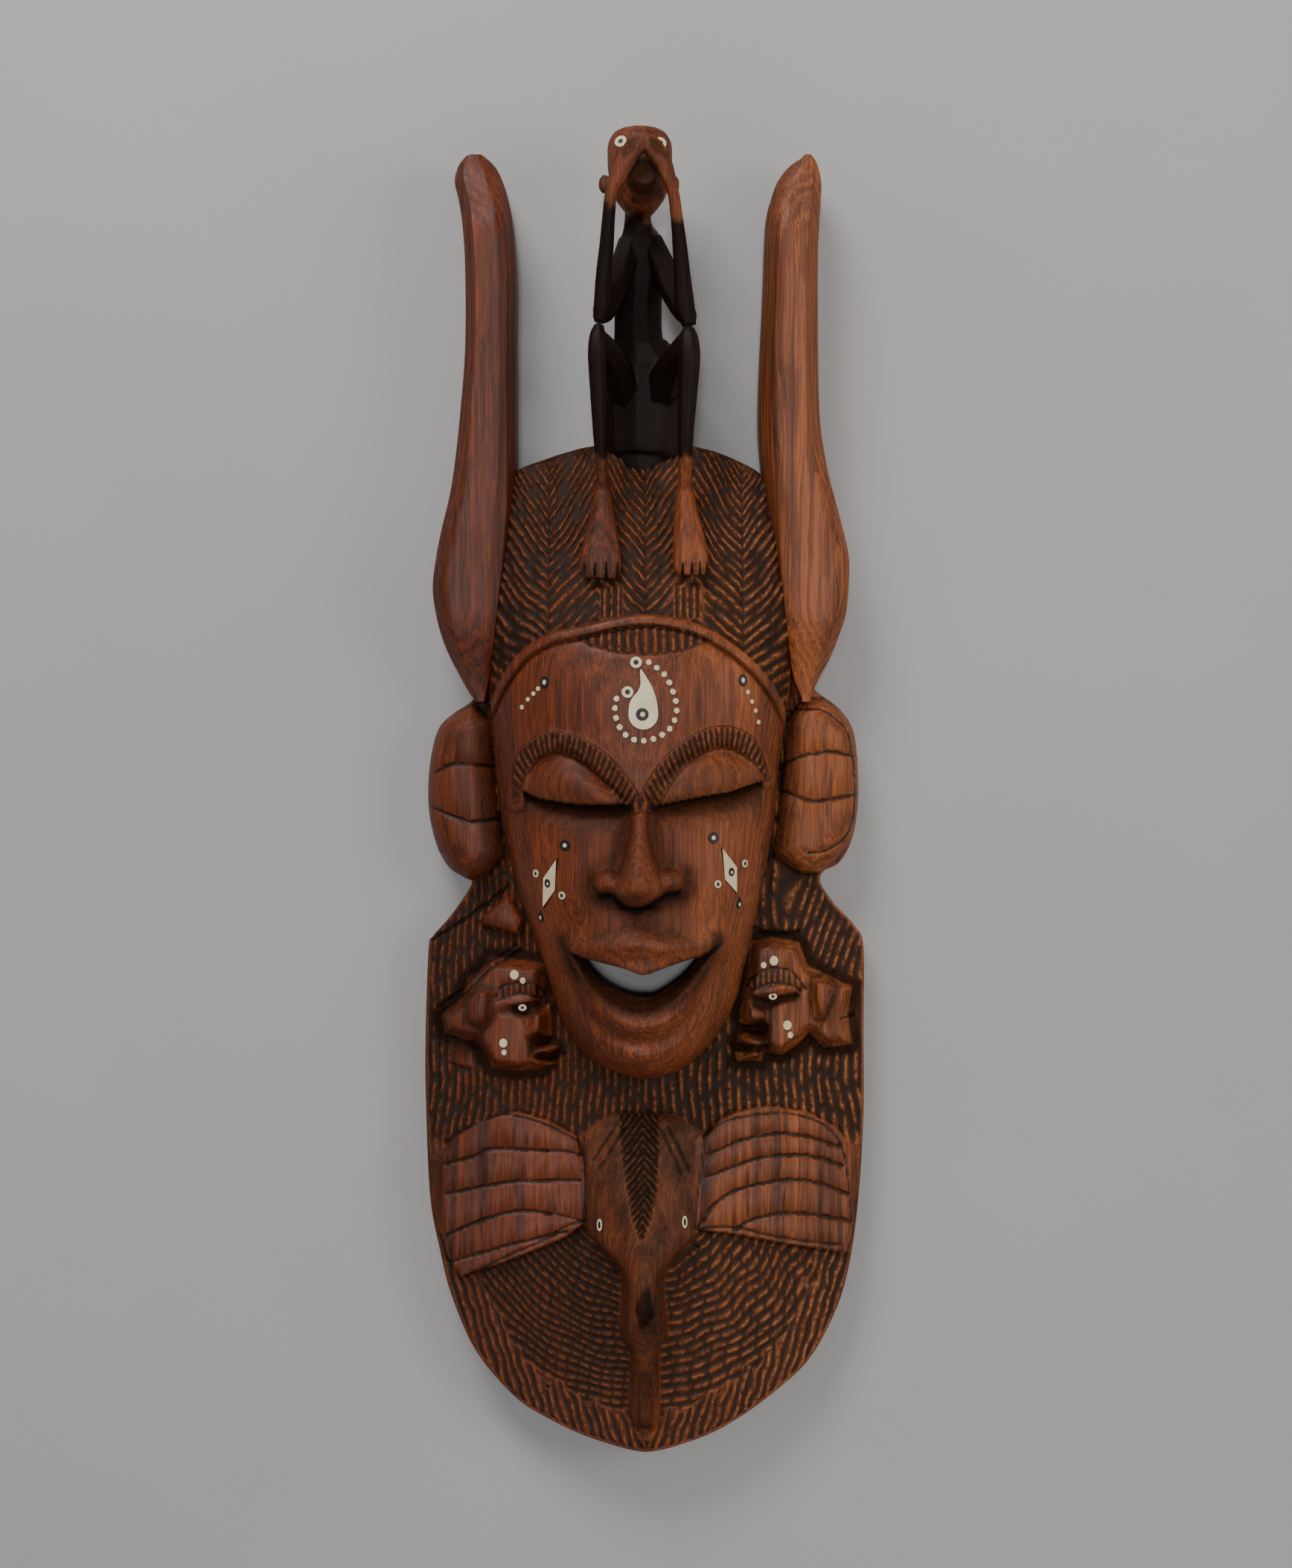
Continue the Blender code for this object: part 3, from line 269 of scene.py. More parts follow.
CHEEKBONES = ((-54, -70), (47, -68))

CROWN = ((-203, 0.46), (-198, 0.615), (-190, 0.75), (-176, 0.846), (-150, 0.904), (-110, 0.933), (-60, 0.933),
    (-10, 0.962), (40, 1.0), (75, 0.98), (105, 0.913), (140, 0.808), (180, 0.673), (212, 0.53), (233, 0.442))
EDGE = ((-203, 0.913), (60, 1.0), (110, 1.087), (160, 1.0), (233, 0.87))

# The profile heads at the sides
PROFILE_LEFT = ((-108, -118), (-90, -119), (-69, -122), (-68, -138), (-70, -146), (-66, -158), (-66, -173),
    (-70, -178), (-61, -180), (-64, -185), (-69, -187), (-66, -192), (-72, -196), (-86, -198), (-106, -196),
    (-117, -178), (-139, -172), (-142, -158), (-127, -145), (-124, -134), (-116, -128))
PROFILE_RIGHT = ((70, -107), (88, -104), (106, -108), (112, -124), (126, -131), (143, -139), (140, -158),
    (143, -180), (122, -182), (112, -172), (104, -180), (93, -187), (82, -184), (80, -191), (60, -190),
    (66, -183), (61, -177), (63, -171), (78, -168), (66, -165), (64, -160), (65, -144), (69, -128))
LEAF_LEFT = ((-122, -148), (-114, -139), (-106, -141), (-106, -158), (-112, -168), (-122, -162))
LEAF_RIGHT = ((114, -133), (124, -131), (130, -138), (122, -160), (115, -160), (113, -146))
SIDE_LOCK = ((-94, -73), (-113, -90), (-113, -98), (-86, -105), (-82, -93))

# The elephant at the foot
PANEL_LEFT = ((-141, -256), (-132, -242), (-117, -230), (-101, -225), (-87, -223), (-66, -229), (-46, -240),
    (-42, -270), (-41, -301), (-56, -312), (-87, -325), (-127, -340), (-136, -326), (-141, -300))
PANEL_RIGHT = ((35, -245), (48, -230), (60, -223), (84, -219), (110, -223), (131, -234), (144, -249),
    (142, -275), (142, -300), (139, -323), (100, -317), (60, -309), (34, -306))
PANEL_GROOVES = (
    ((-138, -261), (-117, -255), (-104, -250), (-68, -251)),
    ((-137, -282), (-111, -276), (-86, -272), (-45, -271)),
    ((-137, -310), (-117, -301), (-101, -295), (-83, -292), (-66, -294)),
    ((-136, -328), (-111, -321), (-86, -314), (-54, -306)),
    ((42, -254), (62, -245), (83, -240), (108, -241), (132, -249)),
    ((41, -269), (62, -261), (84, -255), (113, -255), (134, -262)),
    ((36, -302), (47, -287), (62, -278), (83, -273), (101, -271), (119, -274), (139, -282)),
    ((60, -305), (73, -298), (93, -294), (113, -295), (140, -300))
)
TRUNK_X = ((-449, 0), (-430, -1), (-385, -1), (-350, -2), (-320, -2), (-280, -2), (-228, -2))
TRUNK_HALF = ((-450, 4), (-441, 8), (-425, 10.5), (-395, 10), (-384, 11), (-376, 16.5), (-350, 14.5),
    (-335, 15.5), (-325, 21), (-312, 34), (-300, 39), (-270, 41), (-243, 42), (-233, 33), (-226, 20))
TRUNK_CREST = ((-451, 0.37), (-440, 0.57), (-415, 0.657), (-385, 0.814), (-365, 0.97), (-345, 1.0),
    (-320, 0.957), (-290, 0.87), (-255, 0.743), (-226, 0.6))

# The horns: outer edge, inner edge and the ridge between the front and the inner face
HORN_LEFT = (
    ((432, -117), (428, -124), (422, -129), (412, -131), (399, -128), (381, -125), (351, -123), (298, -123),
     (257, -126), (227, -129), (199, -133), (169, -140), (146, -144), (131, -145), (116, -143), (100, -139),
     (85, -133), (63, -121), (54, -114)),
    ((432, -114), (428, -109), (422, -103), (412, -98), (399, -94), (381, -91), (351, -89), (298, -89),
     (217, -89), (148, -94), (110, -99), (75, -105), (54, -110)),
    ((432, -114), (399, -99), (351, -94), (293, -94), (196, -94), (152, -97), (123, -100), (86, -104),
     (54, -110))
)
HORN_RIGHT = (
    ((429, 113), (424, 117), (412, 120), (394, 119), (364, 117), (298, 117), (252, 118), (227, 121),
     (207, 125), (192, 129), (169, 135), (154, 138), (138, 138), (116, 136), (100, 131), (85, 125), (70, 117),
     (58, 112)),
    ((429, 108), (424, 100), (418, 94), (410, 89), (398, 85), (383, 82), (332, 80), (260, 77), (217, 79),
     (148, 88), (89, 98), (58, 106)),
    ((429, 108), (398, 92), (314, 87), (228, 86), (178, 89), (128, 93), (77, 99), (58, 106))
)

# The crest figure: stations of each limb as x, y, height, half width and half thickness, in parts
TORSO = ((-4, 202, 46, 6, 6), (-3, 212, 42, 17, 14), (-2, 224, 37, 28, 21), (-2, 255, 37, 30, 24),
    (-2, 284, 38, 29, 24), (-4, 296, 40, 21, 19), (-5.5, 304, 41, 17, 15), (-5.5, 330, 42, 16.5, 13),
    (-4, 350, 44, 17, 12), (-4, 368, 46, 16, 11), (-5.5, 380, 48, 10, 9), (-5.5, 392, 52, 9, 10))
HEAD = ((-4.2, 386, 58, 9, 12), (-4.2, 396, 62, 17, 20), (-4.2, 410, 64, 21, 23), (-4.2, 426, 62, 22, 22),
    (-4.2, 435, 61, 21, 19), (-4.2, 440, 60, 17, 14))
MUZZLE = ((-2, 408, 66, 16, 14), (-2, 406, 80, 13, 12), (-1.5, 408, 92, 9, 9))
FOREARMS = (
    ((-1, 429, 100, 4, 5), (-6, 424, 101, 7, 5), (-12.3, 414, 101, 7, 5), (-17.5, 403, 100, 6, 5),
     (-22.7, 393, 99, 4.6, 5), (-24.7, 376, 98, 4.6, 5.5), (-26.1, 357, 96, 5.2, 6), (-28, 338, 94, 5.6, 6.5),
     (-29, 318, 93, 6, 7), (-31, 307, 94, 4, 4.5)),
    ((-2, 429, 100, 4, 5), (3, 424, 101, 7, 5), (10, 414, 101, 7, 5), (14.6, 403, 100, 5.5, 5),
     (18.2, 392, 99, 4.2, 5), (20.5, 376, 98, 4.4, 5.5), (22.6, 357, 96, 5.2, 6), (24.2, 338, 94, 6, 6.5),
     (26, 318, 93, 7, 7), (29, 305, 94, 5, 5))
)
UPPER_ARMS = (
    ((-11, 370, 46, 8, 9), (-16, 350, 56, 9, 9), (-21, 333, 68, 9, 9), (-28, 316, 86, 8, 8),
     (-31, 311, 93, 5, 5)),
    ((4, 370, 46, 8, 9), (12, 350, 56, 9, 9), (18, 333, 68, 9, 9), (26, 315, 86, 8, 8), (29, 309, 93, 5, 5))
)
THIGHS = (
    ((-16, 268, 44, 13, 20), (-21, 280, 62, 12, 17), (-28, 291, 86, 9, 11), (-31.5, 297, 96, 6, 7)),
    ((11, 268, 44, 13, 20), (17, 280, 62, 12, 17), (24, 290, 86, 9, 11), (28, 296, 96, 7, 7))
)
SHINS = (
    ((-31, 305, 96, 3.4, 4), (-32, 298, 97, 5.6, 6), (-32.2, 286, 97, 6.6, 7.5), (-31.6, 264, 94, 6, 7.5),
     (-30.6, 235, 90, 5, 7), (-29.4, 212, 84, 4.2, 7.5), (-28.8, 198, 78, 4.8, 9), (-28.8, 190, 74, 5, 8)),
    ((28, 303, 96, 4, 4), (28.6, 296, 97, 6.6, 6), (29, 284, 97, 7.8, 7.5), (28.2, 264, 94, 7, 7.5),
     (26.8, 235, 90, 5.6, 7), (26.2, 212, 84, 4.8, 7.5), (26, 198, 78, 5, 9), (26, 190, 74, 5.2, 8))
)
FEET = (
    ((-28.8, 205, 77, 4.5, 7), (-29, 188, 80, 7, 8), (-29.4, 170, 83, 10.5, 7), (-30, 154, 86, 13.6, 6),
     (-30.2, 144, 87.5, 14, 5), (-30.4, 137, 88, 11, 3.4)),
    ((26, 205, 77, 4.5, 7), (26.6, 188, 80, 7, 8), (28, 170, 83, 10, 7), (29.6, 155, 86, 11.8, 6),
     (30, 145, 87.5, 12, 5), (30.2, 139, 88, 9, 3.4))
)
EARS_OF_FIGURE = (
    ((-24, 407, 55, 5, 3), (-29, 407, 55, 6.5, 3.2), (-32, 407, 55, 3, 1.6)),
    ((16, 407, 55, 5, 3), (20, 407, 55, 6, 3.2), (22.5, 407, 55, 3, 1.6))
)


def plate_height(x, y):
    """The plate's front: a shallow crown across, falling to its rim."""
    across = np.clip(1.0 - (x / (HALF_WIDE * UNIT)) ** 2, 0.0, 1.0)
    return PLATE_EDGE + PLATE_CROWN * across


def head_width(y):
    """Middle and half width of the head at each height: the face below, the cap above."""
    left = profile([(v, u) for u, v in FACE_LEFT[2:]] + [(60, -107), (110, -107), (160, -106), (204, -101),
                                                       (224, -88), (236, -60)], y / UNIT)
    right = profile([(v, u) for u, v in FACE_RIGHT[2:]] + [(60, 98), (110, 101), (160, 99), (204, 90),
                                                         (224, 78), (236, 52)], y / UNIT)
    return 0.5 * (left + right) * UNIT, 0.5 * (right - left) * UNIT


def head_height(x, y):
    """The egg of the head: a crown line down the middle, rounded off to both edges."""
    v = y / UNIT
    crown = profile(CROWN, v) * FOREHEAD
    edge = profile(EDGE, v) * FACE_EDGE
    middle, half = head_width(y)
    across = np.clip(np.abs(x - middle) / np.maximum(half, UNIT), 0.0, 1.0)
    return edge + (crown - edge) * (1.0 - across ** 2.1) ** 0.62


def eyes(x, y):
    """Sockets under the brows, closed lids and the step below each lash line."""
    added = np.zeros(np.shape(x))
    for top, lash in zip(LID_TOPS, LASHES):
        top_line = master(*top)
        lash_line = master(*lash)
        low, high = lash_line[0, 0], lash_line[-1, 0]
        across = np.clip((x - low) / (high - low), 0.0, 1.0)
        span = np.clip(1.0 - (2.0 * across - 1.0) ** 4, 0.0, 1.0) * ((x > low) & (x < high))
        lash_y = np.interp(x, lash_line[:, 0], lash_line[:, 1])
        top_y = np.interp(x, *curve_through(top_line, 6).T)
        share = np.clip((y - lash_y) / np.maximum(top_y - lash_y, UNIT), 0.0, 1.3)
        lid = LID_RISE * np.sin(math.pi * np.clip(0.30 + 0.70 * share, 0.0, 1.0)) - SOCKET_DEPTH * 0.55
        fade = 1.0 - ease(1.0, 1.3, share)
        below = np.clip((lash_y - y) / (22.0 * UNIT), 0.0, 1.0)
        step = -LASH_STEP * (1.0 - below) ** 1.6
        added += span * np.where(y >= lash_y, lid * fade, step)
    return added


def nose(x, y):
    """A narrow ridge that widens to a round tip, with a nostril wing at each side."""
    v = y / UNIT
    ridge = profile(NOSE_RIDGE, v) * NOSE_RISE
    half = profile(NOSE_HALF, v) * UNIT
    off = np.abs(x - NOSE_X * UNIT) / half
    dome = np.sqrt(np.clip(1.0 - (off / 1.15) ** 2, 0.0, 1.0))
    shape = ridge * (0.80 * dome + 0.20 * np.exp(-(off / 1.8) ** 2))
    for wing in master(*NOSTRILS):
        dome = 1.0 - ((x - wing[0]) / NOSTRIL_WIDTH) ** 2 - ((y - wing[1]) / NOSTRIL_LENGTH) ** 2
        shape = np.maximum(shape, NOSTRIL_RISE * np.sqrt(np.clip(dome, 0.0, 1.0)))
    return shape


def mouth(x, y):
    """Lips as two soft ridges, the bevel down to the slit, the crease and the chin under it."""
    lower = distance_to(x, y, drawn(LOWER_LIP, 3))[0]
    upper = distance_to(x, y, drawn(UPPER_LIP, 3))[0]
    crease = distance_to(x, y, curve_through(master(*LOWER_LIP) + np.array([0.0, -12.5 * UNIT]), 3))[0]
    recess = inside(x, y, master(*MOUTH_RECESS))
    shape = LIP_RISE * np.exp(-(lower / (6.5 * UNIT)) ** 2)
    shape = shape + 0.9 * LIP_RISE * np.exp(-(upper / (7.5 * UNIT)) ** 2)
    shape -= 0.6 * LIP_RISE * np.exp(-(crease / (4.5 * UNIT)) ** 2)
    shape -= MOUTH_DEPTH * ease(0.0, 10.0 * UNIT, recess)
    shape += CHIN_RISE * bump(x, y, master(CHIN)[0], 26.0 * UNIT, 12.0 * UNIT)
    for bone in master(*CHEEKBONES):
        shape += CHEEK_RISE * bump(x, y, bone, 26.0 * UNIT, 30.0 * UNIT)
    return shape


def brows(x, y):
    """A raised band over each eye."""
    added = np.zeros(np.shape(x))
    for line in BROWS:
        gap = distance_to(x, y, drawn(line))[0]
        added = np.maximum(added, BROW_RISE * (1.0 - ease(0.38 * BROW_WIDTH, 0.62 * BROW_WIDTH, gap)))
    return added


def elephant(x, y, ground):
    """Two ear panels, and the head that narrows into the long trunk, over the plate."""
    v = y / UNIT
    height = ground
    for loop in (PANEL_LEFT, PANEL_RIGHT):
        gap = inside(x, y, master(*loop))
        height = np.maximum(height, ground + PANEL_RISE * ease(-1.5 * UNIT, 2.5 * UNIT, gap))
    top = profile(TRUNK_CREST, v) * TRUNK_TOP
    half = profile(TRUNK_HALF, v) * UNIT
    off = np.clip(np.abs(x - profile(TRUNK_X, v) * UNIT) / half, 0.0, 1.0)
    gable = ease(-335.0, -300.0, v)
    ridged = 0.30 * (off < 1.0) + 0.70 * (1.0 - off ** 1.3)
    section = (1.0 - gable) * np.sqrt(1.0 - off ** 2.4) + gable * ridged
    form = np.where((off < 1.0) & (v < -226.0) & (v > -450.5), ground + (top - ground) * section, ground)
    return np.maximum(height, form)


def front_height(x, y):
    """The whole front of the block, as a height over its flat back."""
    ground = plate_height(x, y)
    height = elephant(x, y, ground)
    for loop in (EAR_LEFT, EAR_RIGHT):
        gap = inside(x, y, master(*loop))
        dome = np.clip(gap / (20.0 * UNIT), 0.0, 1.0)
        height = np.maximum(height, ground + EAR_RISE * np.sqrt(1.0 - (1.0 - dome) ** 2) * (gap > 0.0))
    for loop in (PROFILE_LEFT, PROFILE_RIGHT):
        gap = inside(x, y, master(*loop))
        height = height + PROFILE_RISE * ease(-UNIT, 9.0 * UNIT, gap)
    for loop in (LEAF_LEFT, LEAF_RIGHT, SIDE_LOCK):
        gap = inside(x, y, master(*loop))
        height = height + 0.5 * PROFILE_RISE * ease(-UNIT, 4.0 * UNIT, gap)
    middle, half = head_width(y)
    on_head = (np.abs(x - middle) < half) & (y > FACE_FOOT * UNIT)
    head = head_height(x, y) + eyes(x, y) + nose(x, y) + mouth(x, y) + brows(x, y)
    band = distance_to(x, y, drawn(HEADBAND))[0]
    head += BAND_RISE * (1.0 - ease(0.35 * BAND_WIDTH, 0.65 * BAND_WIDTH, band))
    head += 0.5 * BAND_RISE * ease(-UNIT, 2.0 * UNIT, inside(x, y, master(*FRINGE)))
    return np.where(on_head, np.maximum(height, head), height)


def block_height(x, y):
    """The front of the block with its rim rounded off."""
    rim = np.clip(inside(x, y, block_loop()) / RIM_ROUND, 0.0, 1.0)
    return front_height(x, y) - 0.5 * RIM_ROUND * (1.0 - np.sqrt(1.0 - (1.0 - rim) ** 2))


def back_height(x, y, front):
    """The flat back, hollowed behind the face for the wearer, with a wall left everywhere."""
    centre = master(HOLLOW_CENTRE)[0]
    away = ((x - centre[0]) / (0.5 * HOLLOW_WIDTH)) ** 2 + ((y - centre[1]) / (0.5 * HOLLOW_LENGTH)) ** 2
    hollow = HOLLOW_DEPTH * np.clip(1.0 - away ** 1.6, 0.0, 1.0) ** 0.6
    return np.minimum(hollow, np.maximum(front - LEAST_WALL, 0.0))


def block_loop():
    """The block's outline, once round."""
    left = drawn(BLOCK_LEFT)
    right = drawn(BLOCK_RIGHT)
    return np.vstack([left, right[-2:0:-1]])


def limb_rings(stations, sides):
    """Elliptical rings along a limb, each square to the limb's own path."""
    line = UNIT * np.array(stations, dtype=float)
    path = line[:, :3]
    along = np.gradient(path, axis=0)
    along /= np.linalg.norm(along, axis=1)[:, None]
    across = np.cross(along, (0.0, 0.0, 1.0))
    flat = np.linalg.norm(across, axis=1) < 0.2
    across[flat] = (1.0, 0.0, 0.0)
    across /= np.linalg.norm(across, axis=1)[:, None]
    up = np.cross(across, along)
    turn = np.linspace(0.0, 2.0 * math.pi, sides, endpoint=False)
    ring = (np.cos(turn)[None, :, None] * across[:, None, :] * line[:, 3][:, None, None]
            + np.sin(turn)[None, :, None] * up[:, None, :] * line[:, 4][:, None, None])
    return path[:, None, :] + ring


def grown_outline(outline, gap):
    """An outline pushed out by a gap, square to its sides."""
    ahead = np.roll(outline, -1, axis=0) - outline
    ahead /= np.linalg.norm(ahead, axis=1)[:, None]
    normal = np.stack([ahead[:, 1], -ahead[:, 0]], axis=1)
    before = np.roll(normal, 1, axis=0)
    share = 1.0 + np.sum(normal * before, axis=1)
    return outline + gap * (normal + before) / share[:, None]


def tear_outline(shape, size, sides=8):
    """A drop: a half-round foot of the given radius that draws up to a leaning tip."""
    turn = np.linspace(math.pi, 2.0 * math.pi, sides)
    foot = size * np.stack([np.cos(turn), np.sin(turn)], axis=1)
    return UNIT * np.vstack([foot, size * np.array(shape)])


# Inlays, in parts
FOREHEAD_TEAR = (-1.8, 45.8)
TEAR_SIDES = ((0.93, 0.80), (0.73, 1.55), (0.37, 2.28), (-0.17, 3.08), (-0.21, 2.50), (-0.19, 2.05),
    (-0.38, 1.58), (-0.74, 1.16), (-0.95, 0.66))
FOREHEAD_RINGS = ((-6.6, 80.5), (-12.2, 60.8))
FOREHEAD_ROW = ((1.8, 80.6), (11.4, 73.2), (17.1, 63), (20.2, 48.8), (15.4, 36.5), (3, 29.3), (-10.1, 30.2),
    (-18.2, 39), (-20.6, 50.5), (-19.6, 56.4))
FOREHEAD_DOTS = 18
TEMPLES = (
    ("left", (-67.6, 67.8), ((-71.9, 63.6), (-75.1, 60.3), (-78.9, 56.6), (-83, 51.4))),
    ("right", (64.6, 69.3), ((67.9, 61.4), (70.8, 55.1), (73.2, 49.1), (75.3, 41.5)))
)
CHEEKS_SET = (
    ("left",
     (-54, -40.9),
     ((-58.5, -50), (-69.9, -63.6), (-70.4, -83.2), (-59.7, -70.6)),
     ((-73.8, -60.1), (-56.0, -74.4)),
     (-70.8, -89.9)),
    ("right",
     (44.9, -35.9),
     ((49.6, -42.9), (51.7, -63.6), (61.9, -73), (61.9, -56)),
     ((66.2, -53.4), (47.8, -66.8)),
     (62.6, -80.9))
)
DROP_SIDES = ((0.80, 0.75), (0.0, 2.00), (-0.80, 0.75))
PROFILES_SET = (
    ("left",
     (-84.2, -152.5),
     ((-89.8, -130.1, 3), (-84, -134, 2), (-97.4, -176.8, 2.8), (-96.9, -183.2, 1.8))),
    ("right", (86.5, -144.9), ((80.2, -123.5, 2), (87.2, -120.5, 3), (96.4, -164.6, 3), (98.4, -171.3, 2)))
)
ELEPHANT_EYES = (("left", (-31.5, -299.9)), ("right", (26.2, -297.8)))
CREST_EYES = (
    ("left", (-16.9, 431.0, 77.5), (-0.34, 0.30, 0.89)),
    ("right", (9.6, 430.0, 77.5), (0.34, 0.30, 0.89))
)

# The depth and spacing of the gouge strokes, in parts
CAP_PITCH = 7.2
CAP_DEPTH = 2.3
CAP_LENGTH = 42.0
CAP_SPINES = (-65.5, -0.5, 65.0)
HAIR_PITCH = 5.9
HAIR_DEPTH = 2.2
HAIR_LENGTH = 27.0
FIELD_PITCH = 6.4
FIELD_CHIP = 12.5
FIELD_DEPTH = 1.8
FIELD_CENTRE = (-3.0, -270.0)
RIM_REACH = 24.0
FRINGE_PITCH = 6.0
BROW_PITCH = 3.6
TOE_PITCH = 4.6
DARK_PITCH = 5.6

# Radius and stretch of the oval set on each kind of inlay, in parts
CENTRES = {
    "tear": (4.3, 1.0), "tear's pupil": (1.7, 1.0), "ring": (1.75, 1.0), "temple disc": (1.35, 1.3),
    "cheek disc": (1.5, 1.0), "diamond": (2.6, 1.15), "diamond's pupil": (1.0, 1.15),
    "cheek ring": (1.2, 1.15), "drop": (1.15, 1.3), "profile eye": (1.3, 0.8),
    "elephant eye": (0.5 * ELEPHANT_EYE_HALF, 2.6), "crest eye": (1.8, 1.0),
}

# The block's mesh: its width in metres, and the shares of its length where its first rows lie
BLOCK_WIDTH = 0.302
END_ROWS = (0.0004, 0.0010, 0.0018)

# The crest figure: where its black begins and ends, in parts, the flats cut for its eyes, and its toes' depth
BLACK_TOPS = (374.0, 384.0)
BLACK_FOOT = 216.0
BLACK_SHINS = 218.0
EYE_FACET = 9.0
EYE_FACET_LEVELS = (0.0001, 0.014)
TOE_LEVELS = (0.070, 0.110)

# Heights, in parts, where the areas of the front end
CAP_TOP = 236.0
GROUND_TOP = 60.0
HAIR_FOOT = (-266.0, -238.0)
TRUNK_ROOT = -226.0
TRUNK_TIP = -451.0

# Rows of the horns, in parts: the run between its ends, and closer rows where the tip rounds off
HORN_BODY = (56.0, 416.0)
HORN_TIP = (418.5, 421.0, 423.0, 425.0, 426.5, 428.0, 429.0)

# The stage, in metres: the floor, the area lights as name, place, size, share of the main light and colour
FLOOR_REACH = 4.0
FLOOR_DROP = 0.0004
LAMPS = (
    ("window_light", (-0.7, 2.0, 1.5), 1.1, 1.0, (1.0, 0.97, 0.93)),
    ("right_fill", (2.0, 0.3, 1.7), 1.2, 0.47, (1.0, 0.94, 0.86))
)
OVERHEAD_POWER = 0.8
WORLD_STRENGTH = 0.30
CAMERA_HEIGHT = 2.0
CAMERA_LENS = 65.8
CAMERA_SENSOR = 36.0

# Fine grooves: a line, its width and its depth, in parts
FINE_GROOVES = (
    (((-94.5, -70.5), (-106.5, -80.5), (-118.5, -89), (-133, -99), (-148, -108)), 4.0, 2.2),
    (((-89, -110.5), (-98.5, -117.5), (-110.5, -123), (-119, -133), (-128, -143), (-142, -153)), 3.0, 1.6),
    (((-86, -114), (-94.5, -119.5), (-104, -124.5), (-113, -132.5), (-126, -146), (-143, -159.5)), 3.4, 2.2),
    (((73.5, -97), (79.5, -101.5), (87.5, -103), (95.5, -103.5), (104, -101)), 4.0, 2.4),
    (((134, -161), (143, -159)), 2.4, 1.8),
    (((-137.5, -247.5), (-131, -241), (-122, -235.5), (-111.5, -231), (-100.5, -226.5), (-88.5, -227.5),
      (-71, -232), (-51, -241.5), (-45, -247), (-42, -262.5), (-41.5, -286.5), (-41, -300.5)),
     3.0,
     1.6),
    (((-124, -337.5), (-104.5, -328), (-86.5, -319.5), (-70, -312), (-56, -303), (-43, -299)), 3.0, 1.5),
    (((96, 50), (117.5, 51), (130.5, 43.5), (138.5, 32.5), (142.5, 7), (143, -8.5), (140, -29), (133, -39),
      (122.5, -45.5), (110, -47)),
     3.0,
     1.5),
    (((40, -240.5), (36.5, -272.5), (33.5, -302.5)), 2.6, 1.6),
    (((39, -241.5), (54.5, -230.5), (87.5, -225.5), (108, -228), (123.5, -235), (133.5, -248), (138, -266),
      (141, -300)),
     2.6,
     1.4),
    (((-70, -251), (-56, -251), (-43.5, -254)), 3.0, 1.8),
    (((-68, -293.5), (-55, -295.5), (-42.5, -299)), 3.0, 1.8),
    (((34, -304), (59.5, -303), (82.5, -308.5), (108, -313), (133.5, -316.5)), 3.0, 1.8),
    (((-36, -257), (-19.5, -232)), 3.2, 1.8),
    (((-32, -263), (-15, -236)), 3.2, 1.8),
    (((15, -234.5), (30, -264.5)), 3.2, 1.8),
    (((10, -236), (24.5, -266)), 3.2, 1.8),
    (((-40, -118), (-46, -116), (-53, -112)), 4.0, 2.2),
    (((36, -117), (43, -113), (51, -106)), 4.0, 2.2)
)
# The two side faces, in parts: cheek, nose, lips, lid, neck, hollows, and the two lines of each brow
SIDE_CHEEKS = (
    ((-101, -158), (-91, -157.5), (-82, -161), (-81, -173.5), (-79, -190), (-85.5, -194.5), (-98.5, -194),
     (-105.5, -188.5), (-115.5, -177.5), (-111, -167.5), (-104.5, -163)),
    ((84, -152), (101.5, -146.5), (110.5, -142), (114, -153.5), (117, -164.5), (109, -176.5), (99.5, -186),
     (90.5, -188), (83.5, -185.5), (84, -164.5))
)
SIDE_NOSES = (
    ((-72, -155.5), (-66, -149), (-64.5, -155.5), (-64, -173), (-68.5, -172.5), (-72.5, -168.5), (-80, -173),
     (-82.5, -171), (-81.5, -164.5)),
    ((68.5, -143), (73.5, -152), (82, -155.5), (82.5, -163), (79, -160.5), (73.5, -163), (68.5, -165.5),
     (63.5, -163), (63.5, -155.5), (65.5, -146.5))
)
SIDE_LIPS = (
    ((-74, -180.5), (-65.5, -178), (-59, -179), (-59.5, -181), (-65.5, -183.5), (-73, -183)),
    ((-78, -188.5), (-70, -189), (-62, -189.5), (-60.5, -192), (-67.5, -193.5), (-76.5, -191)),
    ((62, -170), (68.5, -171), (77, -175), (82.5, -177), (76, -178), (68.5, -176.5), (62.5, -174)),
    ((59.5, -182.5), (69.5, -183.5), (80, -182.5), (81, -185), (73.5, -188), (62.5, -191), (60.5, -187.5))
)
SIDE_LIDS = (
    ((-98.5, -150.5), (-93, -148), (-85.5, -146), (-78.5, -147.5), (-84, -149.5), (-91, -151.5)),
    ((76, -143), (85, -138.5), (94, -137.5), (100.5, -139.5), (92.5, -141.5), (86, -143.5))
)
SIDE_NECKS = (
    ((-141, -161), (-119.5, -169), (-118, -179), (-117.5, -195.5), (-122, -196.5), (-135.5, -192)),
    ((130, -140.5), (141.5, -142), (142.5, -149), (137, -161), (139, -164.5), (138, -174.5), (123.5, -184),
     (119.5, -182), (119, -165.5), (126, -152))
)
